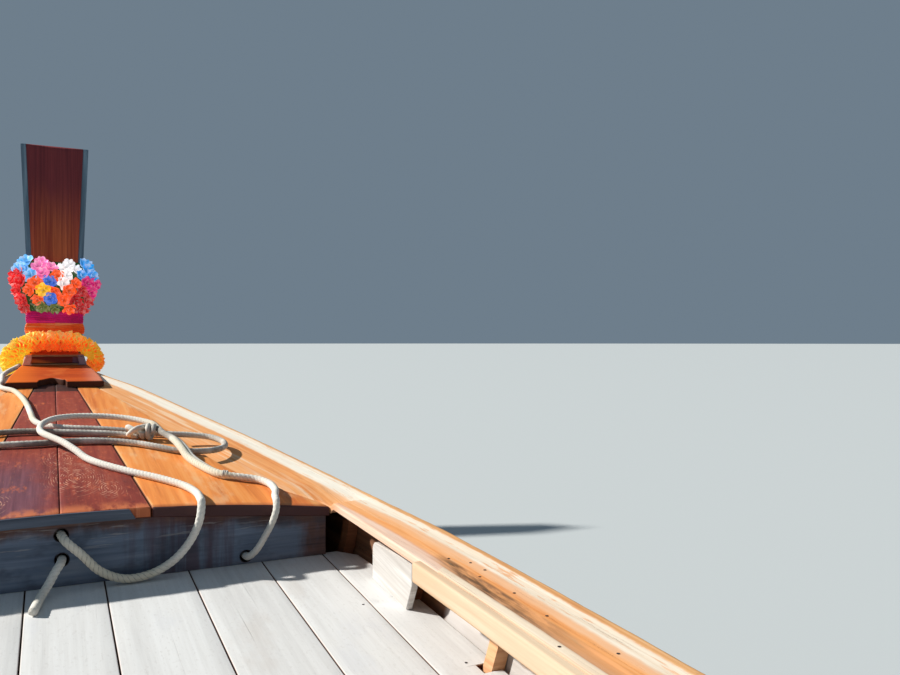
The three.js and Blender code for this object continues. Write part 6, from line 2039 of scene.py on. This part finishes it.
def propeller():
    """Hub and two blades: the chord follows an oval along the radius, turned by the pitch angle."""
    shell = Shell(on_drive)
    lathe(shell, (-3.8985, 0, 0), (-3.99, 0, 0), [(0, .024), (.003, .026), (.05, .025), (.075, .021),
                                                  (.088, .012), (.0915, .004)], 24)
    rs = np.linspace(.018, .140, 16)
    chord = np.interp(rs, [.018, .042, .067, .091, .116, .134, .140], [.034, .044, .056, .062, .052, .032,
                                                                       .012])
    pitch = np.arctan2(.07, rs)
    across = np.linspace(-1, 1, 9)
    for turn in (0, math.pi):
        layers = []
        for face in (1, -1):
            bulge = face * .004 * (1 - across[None] ** 2) + 0 * rs[:, None]
            a = across[None] * chord[:, None]
            x = a * np.sin(pitch)[:, None] + bulge * np.cos(pitch)[:, None]
            y = a * np.cos(pitch)[:, None] - bulge * np.sin(pitch)[:, None]
            z = np.broadcast_to(rs[:, None], a.shape)
            layers.append(np.stack([x - TAIL_LONG, y * math.cos(turn) - z * math.sin(turn),
                                    y * math.sin(turn) + z * math.cos(turn)], -1))
        section = np.concatenate([layers[0], layers[1][:, -2:0:-1]], 1)
        shell.grid(section, wrap=(False, True), ends=True)
    shell.build("screw_blades", bronze, "screw", ["propeller"], 50)


engine_bed()
swivel_yoke()
cradle_and_tail()
engine_block()
exhaust()
tiller()
propeller()

# Floor at the waterline, with an opening the shape of the hull there, and the light


def water_floor():
    """Flat pale floor: rings of points that spread from the waterline's outline to a far circle."""
    ts = np.linspace(0, 1, 120)
    foot = along(KEEL, STERN_X + (FOREFOOT_X - STERN_X) * ts, 1)
    head = cap_top(SHEER_AFT + (BOW_X - SHEER_AFT) * ts) - CAP_THICK - CAP_GAP
    share = -foot / (head - foot)
    s = share.copy()
    for _ in range(40):
        s = s * (share / (s ** 1.8 + (s ** 1.3 - s ** 1.8) * ts ** 3)) ** .6
    port = hull(s, ts)
    port[:, 1] -= .006
    ring = np.concatenate([port, port[::-1] * (1, -1, 1)])
    ring[:, 2] = 0
    way = unit(ring * (.25, 1, 0))
    spread = np.concatenate([[0], np.geomspace(.05, 400, 26)])
    points = ring[None] + spread[:, None, None] * way[None]
    mesh = bpy.data.meshes.new("water_floor")
    rows, columns = points.shape[:2]
    i, j = (v.ravel() for v in np.meshgrid(np.arange(rows - 1), np.arange(columns), indexing="ij"))
    near, far, after = i * columns, (i + 1) * columns, (j + 1) % columns
    quads = np.stack([near + j, near + after, far + after, far + j], -1)
    mesh.from_pydata(points.reshape(-1, 3).tolist(), [], quads.tolist())
    made = bpy.data.objects.new("water_floor", mesh)
    bpy.context.scene.collection.objects.link(made)
    f = Finish("white_wood", "pale_floor", Roughness=.9, Base_Color=rgb(184, 190, 192))
    mesh.materials.append(f.material)


LAMP_BEARING, LAMP_HEIGHT = math.radians(59), math.radians(36.5)
LAMP_ENERGY, LAMP_ANGLE, LAMP_TONE = 5.8, math.radians(2), (1.0, .965, .90)
SKY_TONE, SKY_STRENGTH = (.60, .80, 1.0, 1), .26


def lights():
    """Sun-like lamp from ahead and to port, and a pale even sky."""
    sun = bpy.data.lights.new("key_lamp", "SUN")
    sun.energy, sun.angle, sun.color = LAMP_ENERGY, LAMP_ANGLE, LAMP_TONE
    lamp = bpy.data.objects.new("key_lamp", sun)
    flat = math.cos(LAMP_HEIGHT)
    towards = Vector((math.cos(LAMP_BEARING) * flat, math.sin(LAMP_BEARING) * flat, math.sin(LAMP_HEIGHT)))
    lamp.rotation_euler = towards.to_track_quat("Z", "Y").to_euler()
    bpy.context.scene.collection.objects.link(lamp)
    world = bpy.data.worlds.new("pale_sky")
    world.use_nodes = True
    sky = world.node_tree.nodes["Background"].inputs
    sky["Color"].default_value, sky["Strength"].default_value = SKY_TONE, SKY_STRENGTH
    bpy.context.scene.world = world
    bpy.context.scene.view_settings.view_transform = "Standard"


water_floor()
lights()
